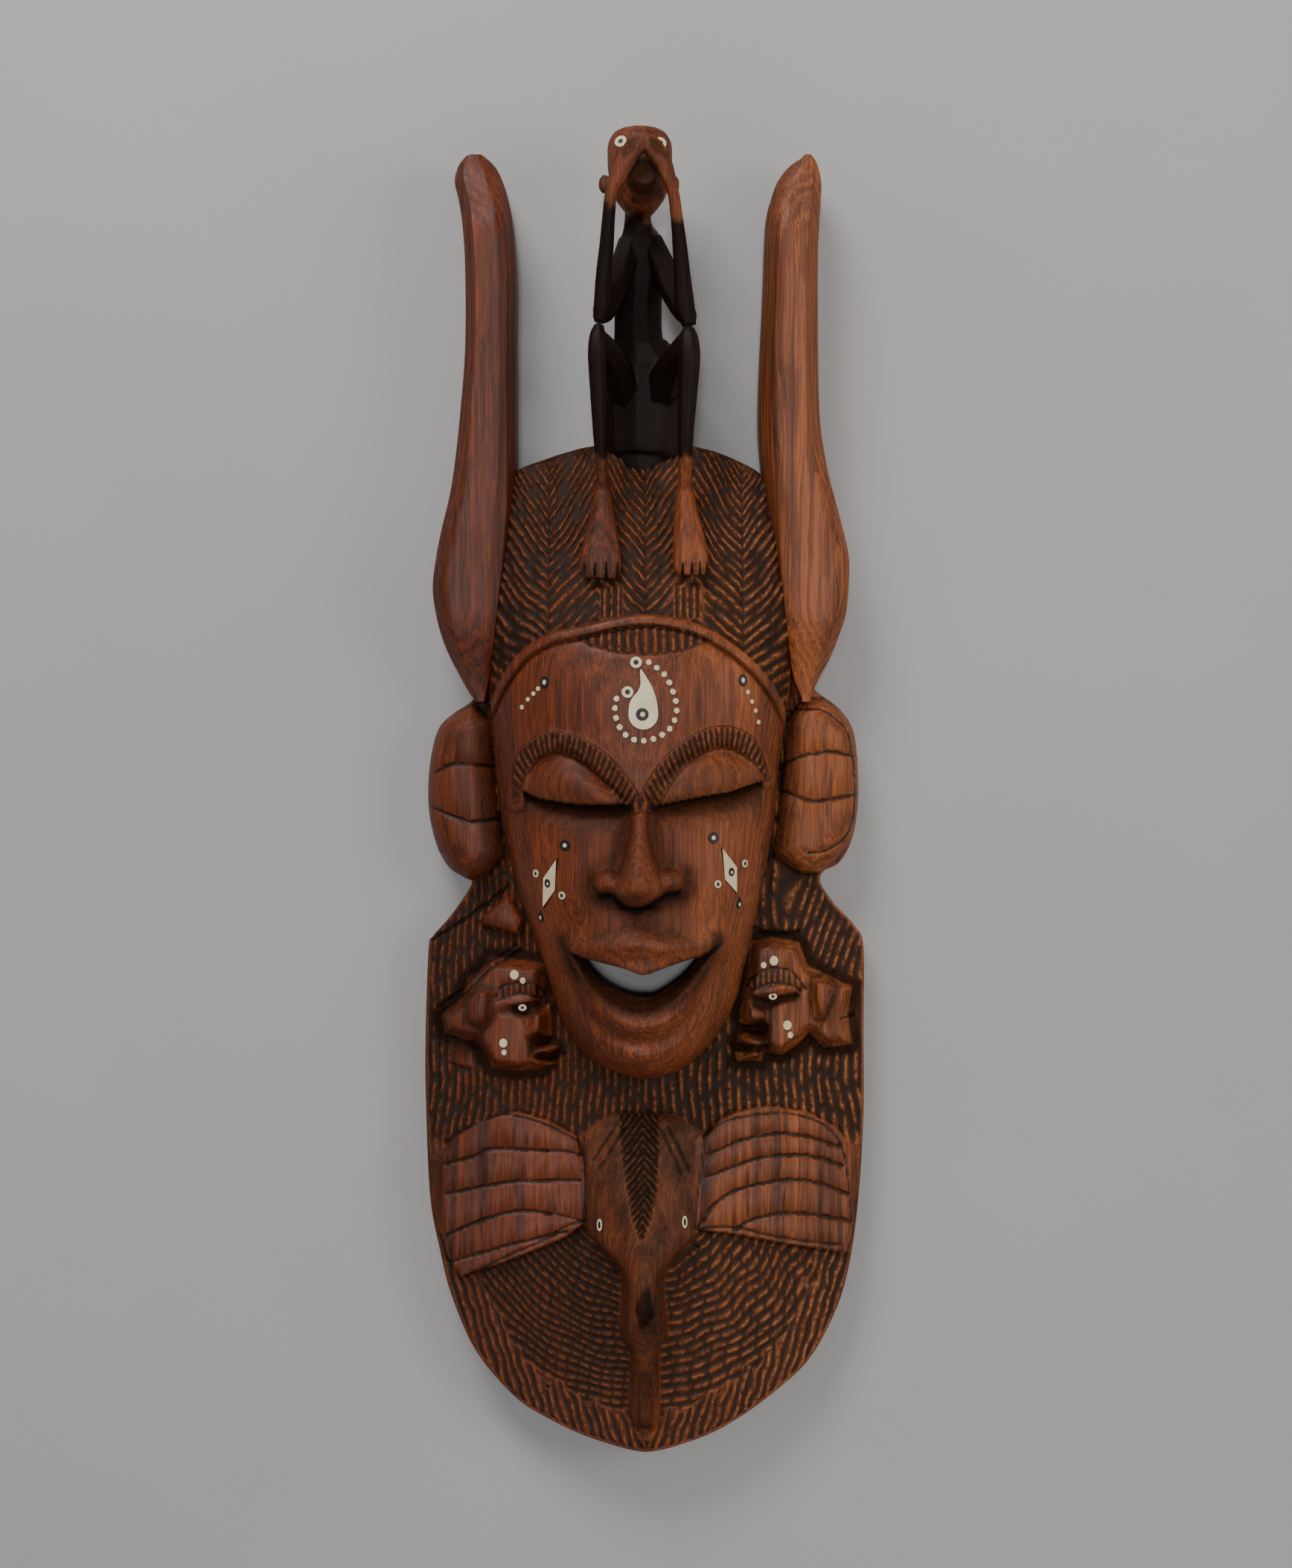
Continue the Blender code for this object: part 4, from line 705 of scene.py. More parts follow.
SIDE_HOLLOWS = (
    ((-92, -152), (-80, -149.5), (-71, -148), (-70, -153), (-76.5, -156.5), (-85.5, -158), (-92, -155.5)),
    ((-79.5, -173.5), (-72.5, -170), (-69, -173), (-64, -175), (-67.5, -178), (-74, -179.5), (-79, -185.5)),
    ((-77.5, -186.5), (-73, -184), (-65.5, -185), (-59, -182.5), (-54.5, -185.5), (-62, -189), (-70, -188.5)),
    ((72, -144.5), (83.5, -146.5), (94, -144.5), (103.5, -143), (105, -145), (101.5, -148), (92.5, -149),
     (83.5, -154.5), (74, -152)),
    ((63.5, -164.5), (68.5, -166.5), (78.5, -162.5), (82.5, -164.5), (83.5, -176), (78, -174), (68.5, -170)),
    ((58.5, -177), (68.5, -178), (78, -178.5), (83.5, -177.5), (83.5, -182), (69.5, -182.5), (58.5, -181.5))
)
SIDE_BROWS = (
    ((-102.5, -145.5), (-99.5, -139), (-94, -136.5), (-86.5, -135.5), (-79, -136), (-73, -138.5),
     (-69, -143)),
    ((-101.5, -148), (-96.5, -146.5), (-91, -144.5), (-85.5, -143.5), (-78.5, -144.5), (-72, -146.5)),
    ((68.5, -138), (72.5, -132), (79.5, -127.5), (88, -125.5), (97, -127), (103.5, -132.5), (109.5, -140.5)),
    ((71, -141.5), (77, -139.5), (85, -136.5), (94, -136.5), (101.5, -138.5), (106, -143))
)
# The lower edge of the nose, wing to wing, in parts
NOSE_FOOT = ((-36, -66), (-31, -72.5), (-24.7, -71.5), (-19, -75.5), (-14.6, -78.9), (-9.5, -81),
    (-4.5, -81.4), (2, -78.5), (8.2, -74.5), (15, -71.5), (22, -70.5), (27, -64))
# The flat flares of the nose, in parts
NOSE_WINGS = (
    ((-31, -72.5), (-33.5, -67), (-32, -60), (-27, -55), (-20, -57), (-14, -66), (-13, -78), (-19, -75.5),
     (-24.7, -71.5)),
    ((22, -70.5), (25.5, -66), (24, -60), (18, -57), (10, -58), (6, -66), (5, -76), (8.2, -74.5), (15, -71.5))
)
# Hollows of the big face darkened with painted shade: a line, how far it spreads in parts, and how strong it
# is
SHADES = (
    (((-36, -58), (-38, -68), (-34, -76), (-25, -77), (-17, -82)), 6.0, 0.95),
    (((28, -58), (30, -68), (25, -75), (15, -77), (7, -81)), 6.0, 0.95),
    (((-14, -10), (-15, -28), (-17, -44), (-22, -56)), 9.0, 0.90),
    (((5, -10), (7, -28), (9, -44), (13, -55)), 9.0, 0.90),
    (((-32, -103), (-19, -98), (-10, -94), (-4, -88)), 8.0, 0.62),
    (((24, -102), (11, -98), (2, -94), (-4, -88)), 8.0, 0.62),
    (((-56, -104), (-52, -116), (-42, -132), (-28, -145), (-4, -152), (20, -146), (34, -132), (44, -114),
      (48, -102)),
     5.0,
     0.95),
    (((-4.5, -40), (-4.5, -60), (-4.5, -78)), 13.0, 0.45),
    (((-26, -90), (-4, -93), (17, -90)), 11.0, 0.45),
    (((-60, -20), (-34, -24), (-14, -26)), 12.0, 0.55),
    (((58, -16), (34, -20), (6, -26)), 12.0, 0.55)
)
ELEPHANT_DARK = ((-20, -224), (10, -224), (9.5, -250), (8.5, -276), (4, -297), (-3.5, -313), (-10, -297),
    (-14, -276), (-18, -250))
TRUNK_HOLLOW = ((-7, -405), (-0.5, -401.5), (6, -405), (6.5, -425), (6, -444), (-0.5, -448.5), (-7, -444),
    (-7.5, -425))
TRUNK_PATCH = (-0.5, -354.0, 6.5, 15.0)
DARK_MIDDLE = ((-313.0, -3.5), (-270.0, -1.0), (-224.0, -3.0))
TOE_STROKES = ((-23.0, 121.0, 7.5, 11.0), (28.5, 121.0, 10.0, 11.0))
KNOTS = ((-117.5, 117.5), (94.0, 115.5))
# The crest figure: wedges between its toes, the shade under its hands and the hollow planes of its palms
TOE_GAPS = tuple((u, 131.0, 149.0, 3.0) for u in (-41.0, -34.0, -26.5, -19.0, 24.5, 30.5, 36.0, 40.5))
THROAT = ((-1.7, 422), (4, 419.5), (9, 412), (11.5, 402), (13, 394), (-0.5, 388), (-10, 388), (-14, 401.5),
    (-14, 411), (-8.5, 417.5))
PALMS = (
    ((-13, 427), (-8, 428), (-4.5, 429), (-6.5, 420), (-12, 414), (-15.5, 411), (-16.5, 420)),
    ((1.5, 428), (9, 426), (12.5, 421), (16, 417), (15, 410.5), (9, 416), (2, 420))
)


def band_line(u):
    """Height of the headband over each place across the head, in parts."""
    line = fine_stations(HEADBAND)
    return np.interp(u, line[:, 0], line[:, 1])


def wander(x, y, size, seed):
    """A smooth irregular wave between about -1 and 1, with bumps of the given size in parts."""
    draw = np.random.default_rng(seed)
    total = np.zeros(np.shape(x))
    for _ in range(6):
        turn, shift = draw.uniform(0.0, 2.0 * math.pi), draw.uniform(0.0, 2.0 * math.pi)
        stretch = draw.uniform(0.6, 1.5)
        along = x * math.cos(turn) + y * math.sin(turn)
        total += np.sin(along * 2.0 * math.pi * stretch / (2.0 * size * UNIT) + shift)
    return total / 2.4


def gouged(phase):
    """How deep a row of gouge cuts is, from 0 on its sharp ridges to 1 in its round valleys."""
    place = phase - np.floor(phase)
    return 4.0 * place * (1.0 - place)


def chipped(phase, along, length, seed):
    """The same with ridges that swell and end along their length, each row of them shifted from the next."""
    row = np.round(phase)
    shift = np.modf(np.abs(np.sin(row * 12.9898 + seed)) * 43.758)[0]
    left_standing = np.clip(1.35 * gouged(along / length + shift), 0.0, 1.0)
    return 1.0 - (1.0 - gouged(phase)) * left_standing


class Carving:
    """Relief, cut, stain and painted shade, blackness and hewn areas over a set of places, filled in area by
    area.
    """

    def __init__(self, x, y):
        self.x, self.y = x, y
        self.u, self.v = x / UNIT, y / UNIT
        # One layer holds the stain of the gouge work together with painted shade in hollows, under the lids
        # and nose and round raised forms; the cut layer marks painted shade at the bottoms of cuts; the black
        # layer holds black wood and painted shade gone nearly black in the deepest hollows
        for layer in ("relief", "cut", "stain", "black", "hewn"):
            setattr(self, layer, np.zeros(x.shape))
        middle, half = head_width(y)
        self.within = half / UNIT - np.abs(self.u - middle / UNIT)
        self.head = ease(0.0, 2.5 * UNIT, half - np.abs(x - middle)) * (self.v > FACE_FOOT)
        self.over_band = self.v - band_line(self.u)
        self.face = self.head * ease(2.5, 4.0, -self.over_band)
        raised = (EAR_LEFT, EAR_RIGHT, PROFILE_LEFT, PROFILE_RIGHT, LEAF_LEFT, LEAF_RIGHT, SIDE_LOCK,
                  PANEL_LEFT, PANEL_RIGHT)
        forms = [parts_inside(x, y, loop) for loop in raised]
        self.ears = np.maximum(*forms[:2])
        self.profiles = np.maximum(*forms[2:4])
        self.covered = np.max(forms + [self.gap_in(SIDE_NECKS[0])], axis=0)
        trunk = profile(TRUNK_HALF, self.v) - np.abs(self.u - profile(TRUNK_X, self.v))
        self.trunk = np.where((self.v < TRUNK_ROOT) & (self.v > TRUNK_TIP), trunk, -20.0)
        self.bare = ((1.0 - self.head) * ease(-2.5, -0.8, -self.covered) * (1.0 - ease(-1.5, 1.0, self.trunk))
                     * (self.v < GROUND_TOP))
        self.to_rim = inside(x, y, block_loop()) / UNIT
        self.off_rim = ease(0.6, 2.4, self.to_rim)

    def wander(self, size, seed):
        """An irregular wave over the places."""
        return wander(self.x, self.y, size, seed)

    def lower(self, where, share, depth, stain):
        """Cut strokes into an area: share is 0 on the ridges and 1 in the valleys, depth is in parts. The
        area takes stain, and its valleys are marked for painted shade.
        """
        self.relief -= where * depth * UNIT * share
        self.paint_cut_shade(where * share)
        self.shade(where * stain)
        self.hewn = np.maximum(self.hewn, where)

    def paint_cut_shade(self, amount):
        """Mark places for the darkest painted shade, as at the bottom of a cut."""
        self.cut = np.maximum(self.cut, amount)

    def blacken(self, amount):
        """Blacken places."""
        self.black = np.maximum(self.black, amount)

    def shade(self, amount, deepest=0.0):
        """Darken places with the stain colour, used both for the stain of gouge work and for painted shade in
        hollows; painted shade goes blacker where there is most of it.
        """
        self.stain = np.maximum(self.stain, amount)
        self.blacken(deepest * np.clip(amount, 0.0, 1.0) ** 2)

    def groove(self, line, width, depth, seed=0):
        """Cut one V groove with slightly wandering edges."""
        gap = near(self.x, self.y, drawn(line), 4.0 * width * UNIT)[0]
        gap = gap + 0.07 * width * UNIT * self.wander(4.0, 91 + seed)
        share = falling(gap, 0.5 * width * UNIT)
        self.relief -= depth * UNIT * share ** 0.8
        self.paint_cut_shade(np.clip(2.8 * share, 0.0, 1.0))

    def gap_in(self, loop, far=14.0):
        """How far inside a loop each place is, in parts, worked out only near the loop."""
        points = master(*loop)
        low, high = points.min(axis=0) - far * UNIT, points.max(axis=0) + far * UNIT
        gap = np.full(self.x.shape, -far)
        pick = (self.x > low[0]) & (self.x < high[0]) & (self.y > low[1]) & (self.y < high[1])
        gap[pick] = inside(self.x[pick], self.y[pick], points) / UNIT
        return gap

    def raise_in(self, loop, rise, soft):
        """Leave the inside of a loop standing, with a softer or sharper edge, and its top free of stain and
        painted shade.
        """
        gap = self.gap_in(loop)
        self.relief += rise * UNIT * ease(-0.4 * soft, soft, gap)
        undarkened = 1.0 - 0.85 * ease(0.0, 1.6, gap)
        self.stain *= undarkened
        self.cut *= undarkened
        self.black *= undarkened

    def under_line(self, line, low, high):
        """How far below a line each place is, in parts, and whether it is in its span, soft at both ends."""
        points = drawn(line)
        under = (np.interp(self.x, points[:, 0], points[:, 1]) - self.y) / UNIT
        return under, (ease(low, high, (self.x - points[0, 0]) / UNIT)
                       * ease(low, high, (points[-1, 0] - self.x) / UNIT))

    def undercut(self, where, under, depth, soft):
        """A step under a line, deepest at the line and fading away below it."""
        self.relief -= where * depth * UNIT * np.exp(-np.clip(under, 0.0, 60.0) / soft)

    def carve_cap(self):
        """Herringbone strokes over the cap, with a few upright ones under the crest figure's toes."""
        u, v = self.u, self.v
        cap = self.head * ease(3.2, 4.6, self.over_band) * (v < CAP_TOP)
        spine_gap = np.min([np.abs(u - s) for s in CAP_SPINES], axis=0)
        steep = np.interp(v, (50.0, 120.0, 230.0), (0.42, 0.85, 1.75))
        irregular = 0.22 * self.wander(22.0, 3) + 0.05 * self.wander(6.0, 4)
        phase = (v - steep * spine_gap) / CAP_PITCH + irregular
        cuts = chipped(phase, spine_gap * np.hypot(1.0, steep), CAP_LENGTH, 0.3)
        upright = np.max([ease(-1.0, 1.0, wide - np.abs(u - across)) * ease(-1.0, 1.0, tall - np.abs(v - up))
                          for across, up, wide, tall in TOE_STROKES], axis=0)
        self.lower(cap * upright, gouged(u / TOE_PITCH + 0.1 * irregular), 1.6, 0.9)
        cap = cap * (1.0 - upright)
        self.lower(cap, cuts, CAP_DEPTH, 0.85)
        self.lower(cap * falling(spine_gap, 1.4), 1.0, 1.1, 0.9)

    def carve_band(self):
        """A groove along both sides of the headband, and the upright strokes of the fringe under it."""
        band = near(self.x, self.y, drawn(HEADBAND), 12.0 * UNIT)[0] / UNIT
        under = falling(np.abs(band - 4.6), 2.0)
        self.lower(self.head * under * (self.over_band < 0.0), 1.0, 1.8, 0.4)
        self.lower(self.head * 0.6 * under * (self.over_band > 0.0), 1.0, 1.2, 0.5)
        fringe = parts_inside(self.x, self.y, FRINGE)
        strokes = gouged(self.u / FRINGE_PITCH + 0.06 * self.wander(8.0, 6))
        self.lower(ease(-0.5, 1.5, fringe), strokes, 1.9, 0.8)
        self.lower(falling(np.abs(fringe), 1.6), 1.0, 1.0, 0.5)

    def carve_brows(self):
        """Hatching across each brow, which tapers to its outer end, and a groove round it."""
        for line in BROWS:
            points = drawn(line)
            gap, share = near(self.x, self.y, points, 14.0 * UNIT)
            gap = gap / UNIT
            run = np.hypot(*(points[1:] - points[:-1]).T).sum() / UNIT
            outer = share if abs(points[-1, 0]) > abs(points[0, 0]) else 1.0 - share
            wide = 0.5 * BROW_WIDTH / UNIT * (1.0 - 0.75 * ease(0.72, 1.0, outer))
            hatch = 0.5 * share * run + 0.5 * np.sign(points[-1, 0] - points[0, 0]) * self.u
            strokes = gouged(hatch / BROW_PITCH + 0.05 * self.wander(5.0, 7))
            self.lower(ease(0.0, 1.6, wide - gap), strokes, 1.4, 0.95)
            self.lower(falling(np.abs(gap - wide), 1.6), 1.0, 1.2, 0.8)

    def carve_face(self):
        """The steps under the lids and the nose with painted shadow below them, the nose's flares, and
        painted shade in the face's hollows.
        """
        for top, line in zip(LID_TOPS, LASHES):
            # Painted shade over each lid
            self.shade(0.34 * ease(0.0, 2.0, self.gap_in(top + line[::-1])))
            # A step under each lash line, with painted shadow darkest right under it
            under, span = self.under_line(line, -1.0, 3.0)
            below = span * (under > -0.6) * self.face
            self.undercut(below, under, 3.0, 3.5)
            self.paint_cut_shade(below * np.clip(1.25 - under / 4.5, 0.0, 1.0))
            self.shade(below * np.clip(1.05 - under / 28.0, 0.0, 1.0) ** 1.2, 0.6)
        under, span = self.under_line(NOSE_FOOT, -2.0, 6.0)
        below = span * ease(-1.5, 1.0, under)
        self.undercut(below, under, 4.5, 6.0)
        # Painted shadow under the nose
        self.paint_cut_shade(below * np.clip(1.45 - under / 9.0, 0.0, 1.0))
        self.shade(below * np.clip(1.1 - under / 22.0, 0.0, 1.0), 0.6)
        for wing in NOSE_WINGS:
            self.relief += 3.0 * UNIT * ease(-1.5, 5.0, self.gap_in(wing)) * ease(-0.5, -2.5, under)
        # Painted shade along the face's hollows and in the mouth's recess
        for line, spread, strength in SHADES:
            gap = near(self.x, self.y, drawn(line), 3.0 * spread * UNIT)[0] / UNIT
            self.shade(strength * self.face * np.exp(-(gap / spread) ** 2), 0.45)
        self.shade(self.face * ease(-4.0, 3.0, self.gap_in(MOUTH_RECESS, 20.0)), 0.60)

    def carve_hair(self):
        """Long upright strokes beside the face, leaning at its right, and painted shade on the slope round
        the profiles.
        """
        u, v = self.u, self.v
        lean = 0.34 * ease(86.0, 108.0, u) * ease(-150.0, -128.0, v)
        pitch = np.where(u > 0.0, HAIR_PITCH + 0.4, HAIR_PITCH - 0.5)
        fan = 0.10 * u * np.clip((v + 205.0) / 100.0, -0.4, 0.0)
        phase = (u - lean * (v + 100.0) + fan) / pitch
        phase = phase + 0.16 * self.wander(30.0, 8) + 0.03 * self.wander(9.0, 9)
        strokes = chipped(phase, v + 9.0 * np.sin(u / 13.0), HAIR_LENGTH, 0.9)
        hair = self.bare * ease(*HAIR_FOOT, v) * self.off_rim
        off_faces = ease(-1.5, -5.5, self.profiles)
        self.lower(hair * (1.0 - off_faces), 0.66, HAIR_DEPTH, 1.0)
        self.lower(hair * off_faces, strokes, HAIR_DEPTH, 0.85)
        # Painted shade on the slope round the side faces
        slope = ease(2.0, 0.2, self.profiles) * ease(-8.0, -4.0, self.profiles) * (1.0 - self.head)
        self.shade(slope, 0.65)
        self.paint_cut_shade(0.72 * slope)

    def carve_field(self):
        """Rings of short chips under the elephant's head, and slanted strokes along the plate's rim."""
        u, v = self.u, self.v
        away = np.hypot(u - FIELD_CENTRE[0], v - FIELD_CENTRE[1])
        turn = np.arctan2(u - FIELD_CENTRE[0], FIELD_CENTRE[1] - v)
        left = ease(6.0, -6.0, u)
        pitch = FIELD_PITCH * (1.0 - 0.22 * left)
        rows = away / pitch + 0.22 * self.wander(22.0, 11) + 0.04 * self.wander(7.0, 12)
        chips = chipped(rows, turn * away, FIELD_CHIP * (1.0 - 0.35 * left), 0.7)
        low = self.bare * (1.0 - ease(*HAIR_FOOT, v))
        reach = RIM_REACH + 3.0 * self.wander(9.0, 18)
        past_rim = ease(reach - 1.5, reach + 1.5, self.to_rim)
        inner = low * past_rim * ease(-298.0, -304.0, v)
        self.lower(inner, chips, FIELD_DEPTH, 0.80 + 0.15 * left)
        self.hewn *= 1.0 - 0.40 * inner * left
        rim = low * (1.0 - past_rim) * self.off_rim * ease(-300.0, -312.0, v)
        slant = 0.30 * np.sign(u) * (v + 440.0)
        self.lower(rim, gouged((u - slant) / HAIR_PITCH + 0.12 * self.wander(12.0, 13)), 1.5, 0.70)
        self.shade(low * 0.6 * (v > -306.0))

    def carve_grooves(self):
        """Shade on the ears beside the head, and every drawn groove."""
        self.shade(0.75 * ease(0.0, 2.0, self.ears) * ease(26.0, 2.0, -self.within))
        for line in EAR_GROOVES + PANEL_GROOVES:
            self.groove(line, GROOVE_WIDTH / UNIT, GROOVE_DEPTH / UNIT)
        for number, (line, width, depth) in enumerate(FINE_GROOVES):
            self.groove(line, width, depth, number)

    def carve_side_faces(self):
        """The features of both side faces: planes left standing, hollows with painted shade, and a hatched
        brow.
        """
        self.relief -= 3.4 * UNIT * ease(-1.0, 2.5, self.gap_in(SIDE_NECKS[1]))
        for loop in SIDE_CHEEKS:
            gap = self.gap_in(loop)
            self.relief -= 1.8 * UNIT * ease(-7.0, -1.0, gap) * ease(2.0, -1.0, gap)
        for loop in SIDE_HOLLOWS:
            gap = self.gap_in(loop)
            self.relief -= 3.4 * UNIT * ease(-1.5, 2.5, gap)
            # Painted shade in each hollow
            self.shade(ease(-4.0, 0.8, gap), 0.5)
            self.paint_cut_shade(0.70 * ease(-1.5, 2.0, gap))
        for loops, rise, soft in ((SIDE_NOSES, 2.8, 2.6), (SIDE_LIPS, 3.0, 1.8), (SIDE_LIDS, 1.8, 1.4)):
            for loop in loops:
                self.raise_in(loop, rise, soft)
        for upper, lower in zip(SIDE_BROWS[::2], SIDE_BROWS[1::2]):
            band = ease(-0.4, 1.2, self.gap_in(upper + lower[::-1]))
            self.lower(band, gouged(self.u / 4.0), 1.5, 0.5)
            for line in (upper, lower):
                self.groove(line, 2.4, 1.6)
        for loop in (LEAF_LEFT, LEAF_RIGHT, SIDE_LOCK):
            gap = self.gap_in(loop)
            # Painted shade round the foot of the leaves and the lock
            self.shade(0.95 * ease(-5.0, -0.8, gap) * ease(1.2, -0.4, gap))
            self.relief += 2.2 * UNIT * ease(0.0, 9.0, gap)

    def carve_elephant(self):
        """The dark hatched V on the elephant's head, the head's stain, the trunk's hollow with painted shade
        in it, and the trunk's patch.
        """
        u, v = self.u, self.v
        dark = parts_inside(self.x, self.y, ELEPHANT_DARK)
        hatch = v + 1.25 * np.abs(u - profile(DARK_MIDDLE, v))
        self.lower(ease(-0.5, 1.5, dark), gouged(hatch / DARK_PITCH + 0.08 * self.wander(6.0, 14)), 1.3, 0.9)
        self.relief -= 1.8 * UNIT * ease(0.0, 3.0, dark)
        self.blacken(0.55 * ease(0.0, 4.0, dark))
        cloudy = 0.66 + 0.18 * self.wander(14.0, 17)
        self.shade(cloudy * ease(-1.0, 3.0, self.trunk) * ease(-1.0, 3.0, -self.covered))
        hollow = parts_inside(self.x, self.y, TRUNK_HOLLOW)
        self.relief -= 4.2 * UNIT * ease(0.0, 4.5, hollow)
        # Painted shade in the trunk's hollow
        self.shade(0.7 * ease(0.0, 5.0, hollow))
        patch_x, patch_y, wide, tall = TRUNK_PATCH
        patch = ((u - patch_x) / wide) ** 2 + ((v - patch_y) / tall) ** 2
        self.blacken(0.85 * (1.0 - ease(0.6, 1.1, patch + 0.2 * self.wander(4.0, 15))))

    def stain_edges(self):
        """Painted shade round the foot of every raised form, and painted shadow beside the head along its
        sides.
        """
        edge = ease(0.0, -2.2, self.covered) * ease(-6.0, -2.2, self.covered) * (1.0 - self.head)
        self.shade(0.8 * edge * (self.v < GROUND_TOP))
        outline = (1.0 - ease(-1.0, 3.5, self.within)) * (self.v < CAP_TOP) * (self.v > FACE_FOOT - 6.0)
        self.shade(0.85 * (outline * ease(-9.0, -1.0, self.within)))


def near(x, y, line, far):
    """Distance to a line and the share of it, worked out only where the line can be near."""
    gap = np.full(x.shape, far)
    place = np.zeros(x.shape)
    low, high = line.min(axis=0) - far, line.max(axis=0) + far
    pick = (x > low[0]) & (x < high[0]) & (y > low[1]) & (y < high[1])
    gap[pick], place[pick] = distance_to(x[pick], y[pick], line)
    return np.minimum(gap, far), place


def carve(x, y):
    """Every gouge stroke, hatch and fine groove of the front, as relief, cut, stain and painted shade, and
    blackness.
    """
    work = Carving(x, y)
    for step in (work.carve_cap, work.carve_band, work.carve_brows, work.carve_face, work.carve_hair,
                 work.carve_field, work.carve_grooves, work.carve_side_faces, work.carve_elephant,
                 work.stain_edges):
        step()
    return work


def mesh_of(name, points, faces, ends=()):
    """A mesh from arrays of points and of four-sided faces, and a few faces with more sides."""
    mesh = bpy.data.meshes.new(name)
    flat = np.concatenate([np.asarray(faces).ravel()] + [np.asarray(e) for e in ends]).astype(np.int32)
    sizes = np.concatenate([np.full(len(faces), 4), [len(e) for e in ends]]).astype(np.int32)
    mesh.vertices.add(len(points))
    mesh.vertices.foreach_set("co", np.ascontiguousarray(points, dtype=np.float32).ravel())
    mesh.loops.add(len(flat))
    mesh.loops.foreach_set("vertex_index", flat)
    mesh.polygons.add(len(sizes))
    mesh.polygons.foreach_set("loop_start", np.concatenate([[0], np.cumsum(sizes)[:-1]]).astype(np.int32))
    mesh.update(calc_edges=True)
    mesh.validate()
    return mesh


def place_of(points):
    """Points of the carving moved to where the mask stands in the frame."""
    return points + np.array([-MIDDLE_X * UNIT, -MIDDLE_Y * UNIT, 0.0])


def piece(name, mesh):
    """An object of the scene with its mesh."""
    made = bpy.data.objects.new(name, mesh)
    bpy.context.scene.collection.objects.link(made)
    return made


def closed_faces(rows, around):
    """The four-sided faces between rings of points, and one face over each end."""
    index = np.arange(rows * around).reshape(rows, around)
    following = np.roll(index, -1, axis=1)
    quads = np.stack([index[:-1], following[:-1], following[1:], index[1:]], axis=-1).reshape(-1, 4)
    return quads, (index[0, ::-1], index[-1])


def tube(name, rings):
    """Rings of points joined into one closed surface, with a flat end at each side and its faces outwards."""
    made = piece(name, mesh_of(name, place_of(rings.reshape(-1, 3)), *closed_faces(*rings.shape[:2])))
    face_outwards(made.data)
    return made


def face_outwards(mesh):
    """Faces of a closed mesh turned to point out."""
    shaped = bmesh.new()
    shaped.from_mesh(mesh)
    bmesh.ops.recalc_face_normals(shaped, faces=shaped.faces)
    shaped.to_mesh(mesh)
    shaped.free()


def settled(made):
    """The object with its modifiers worked into its mesh."""
    bpy.context.view_layer.update()
    finished = bpy.data.meshes.new_from_object(made.evaluated_get(bpy.context.evaluated_depsgraph_get()))
    made.modifiers.clear()
    made.data = finished
    return made


def cut_away(made, cutters):
    """The object less each of the cutters, which are then deleted."""
    for cutter in cutters:
        change = made.modifiers.new(cutter.name, "BOOLEAN")
        change.object = cutter
        change.operation = "DIFFERENCE"
    settled(made)
    for cutter in cutters:
        bpy.data.objects.remove(cutter)


def smooth(made, angle=None):
    """Smooth shading, with edges sharper than the angle kept crisp."""
    made.data.polygons.foreach_set("use_smooth", np.ones(len(made.data.polygons), dtype=bool))
    if angle is not None:
        made.data.set_sharp_from_angle(angle=angle)
    made.data.update()
    return made


def corners(made):
    """The object's points as an array, back in the carving's coordinates."""
    points = np.empty(3 * len(made.data.vertices), dtype=np.float32)
    made.data.vertices.foreach_get("co", points)
    return points.reshape(-1, 3).astype(float) - place_of(np.zeros(3))


def store(made, **values):
    """Values for the wood's material, one for each point."""
    for name, value in values.items():
        layer = made.data.attributes.new(name, "FLOAT", "POINT")
        layer.data.foreach_set("value", np.asarray(value, dtype=np.float32))


def carved_block(grain, keep):
    """The block as rows of points over its front, then fewer over its back, thinned where it is smooth."""
    left = drawn(BLOCK_LEFT, 6)
    right = drawn(BLOCK_RIGHT, 6)
    low, high = left[0, 1], left[-1, 1]
    ends = (high - low) * np.array(END_ROWS)
    between = np.linspace(low + 2 * grain, high - 2 * grain, int((high - low) / grain))
    rows = np.concatenate([low + ends, between, (high - ends)[::-1]])
    start = np.interp(rows, left[:, 1], left[:, 0])[:, None]
    stop = np.interp(rows, right[:, 1], right[:, 0])[:, None]
    columns = int(round(BLOCK_WIDTH / grain))
    share = np.linspace(0.0, 1.0, columns + 1)[None, :]
    x = start + (stop - start) * share
    y = np.repeat(rows[:, None], columns + 1, axis=1)
    places = (x.ravel(), y.ravel())
    near_z = (block_height(*places) + carve(*places).relief).reshape(x.shape)
    share = np.linspace(1.0, 0.0, columns // 4)[None, :]
    far_x = start + (stop - start) * share
    far_y = np.repeat(rows[:, None], columns // 4, axis=1)
    places = (far_x.ravel(), far_y.ravel())
    far_z = back_height(*places, front_height(*places)).reshape(far_x.shape)
    front, back = np.stack([x, y, near_z], axis=-1), np.stack([far_x, far_y, far_z], axis=-1)
    rings = np.concatenate([front, back], axis=1)
    made = tube("carved_block", rings)
    thinned = made.modifiers.new("fewer faces where it is smooth", "DECIMATE")
    thinned.ratio = keep / (2.0 * rings.shape[0] * rings.shape[1])
    settled(made)
    return made


def prism_mesh(outline, levels, place):
    """Closed mesh of an outline stacked at a few levels, each (height, how far the outline is drawn in)."""
    count = len(outline)
    ring_points = []
    for height, inset in levels:
        shrunk = grown_outline(outline, -inset) if inset else outline
        ring_points.append(np.column_stack([shrunk, np.full(count, height)]))
    world = np.array([place @ Vector(p) for p in np.vstack(ring_points)])
    return world, *closed_faces(len(levels), count)


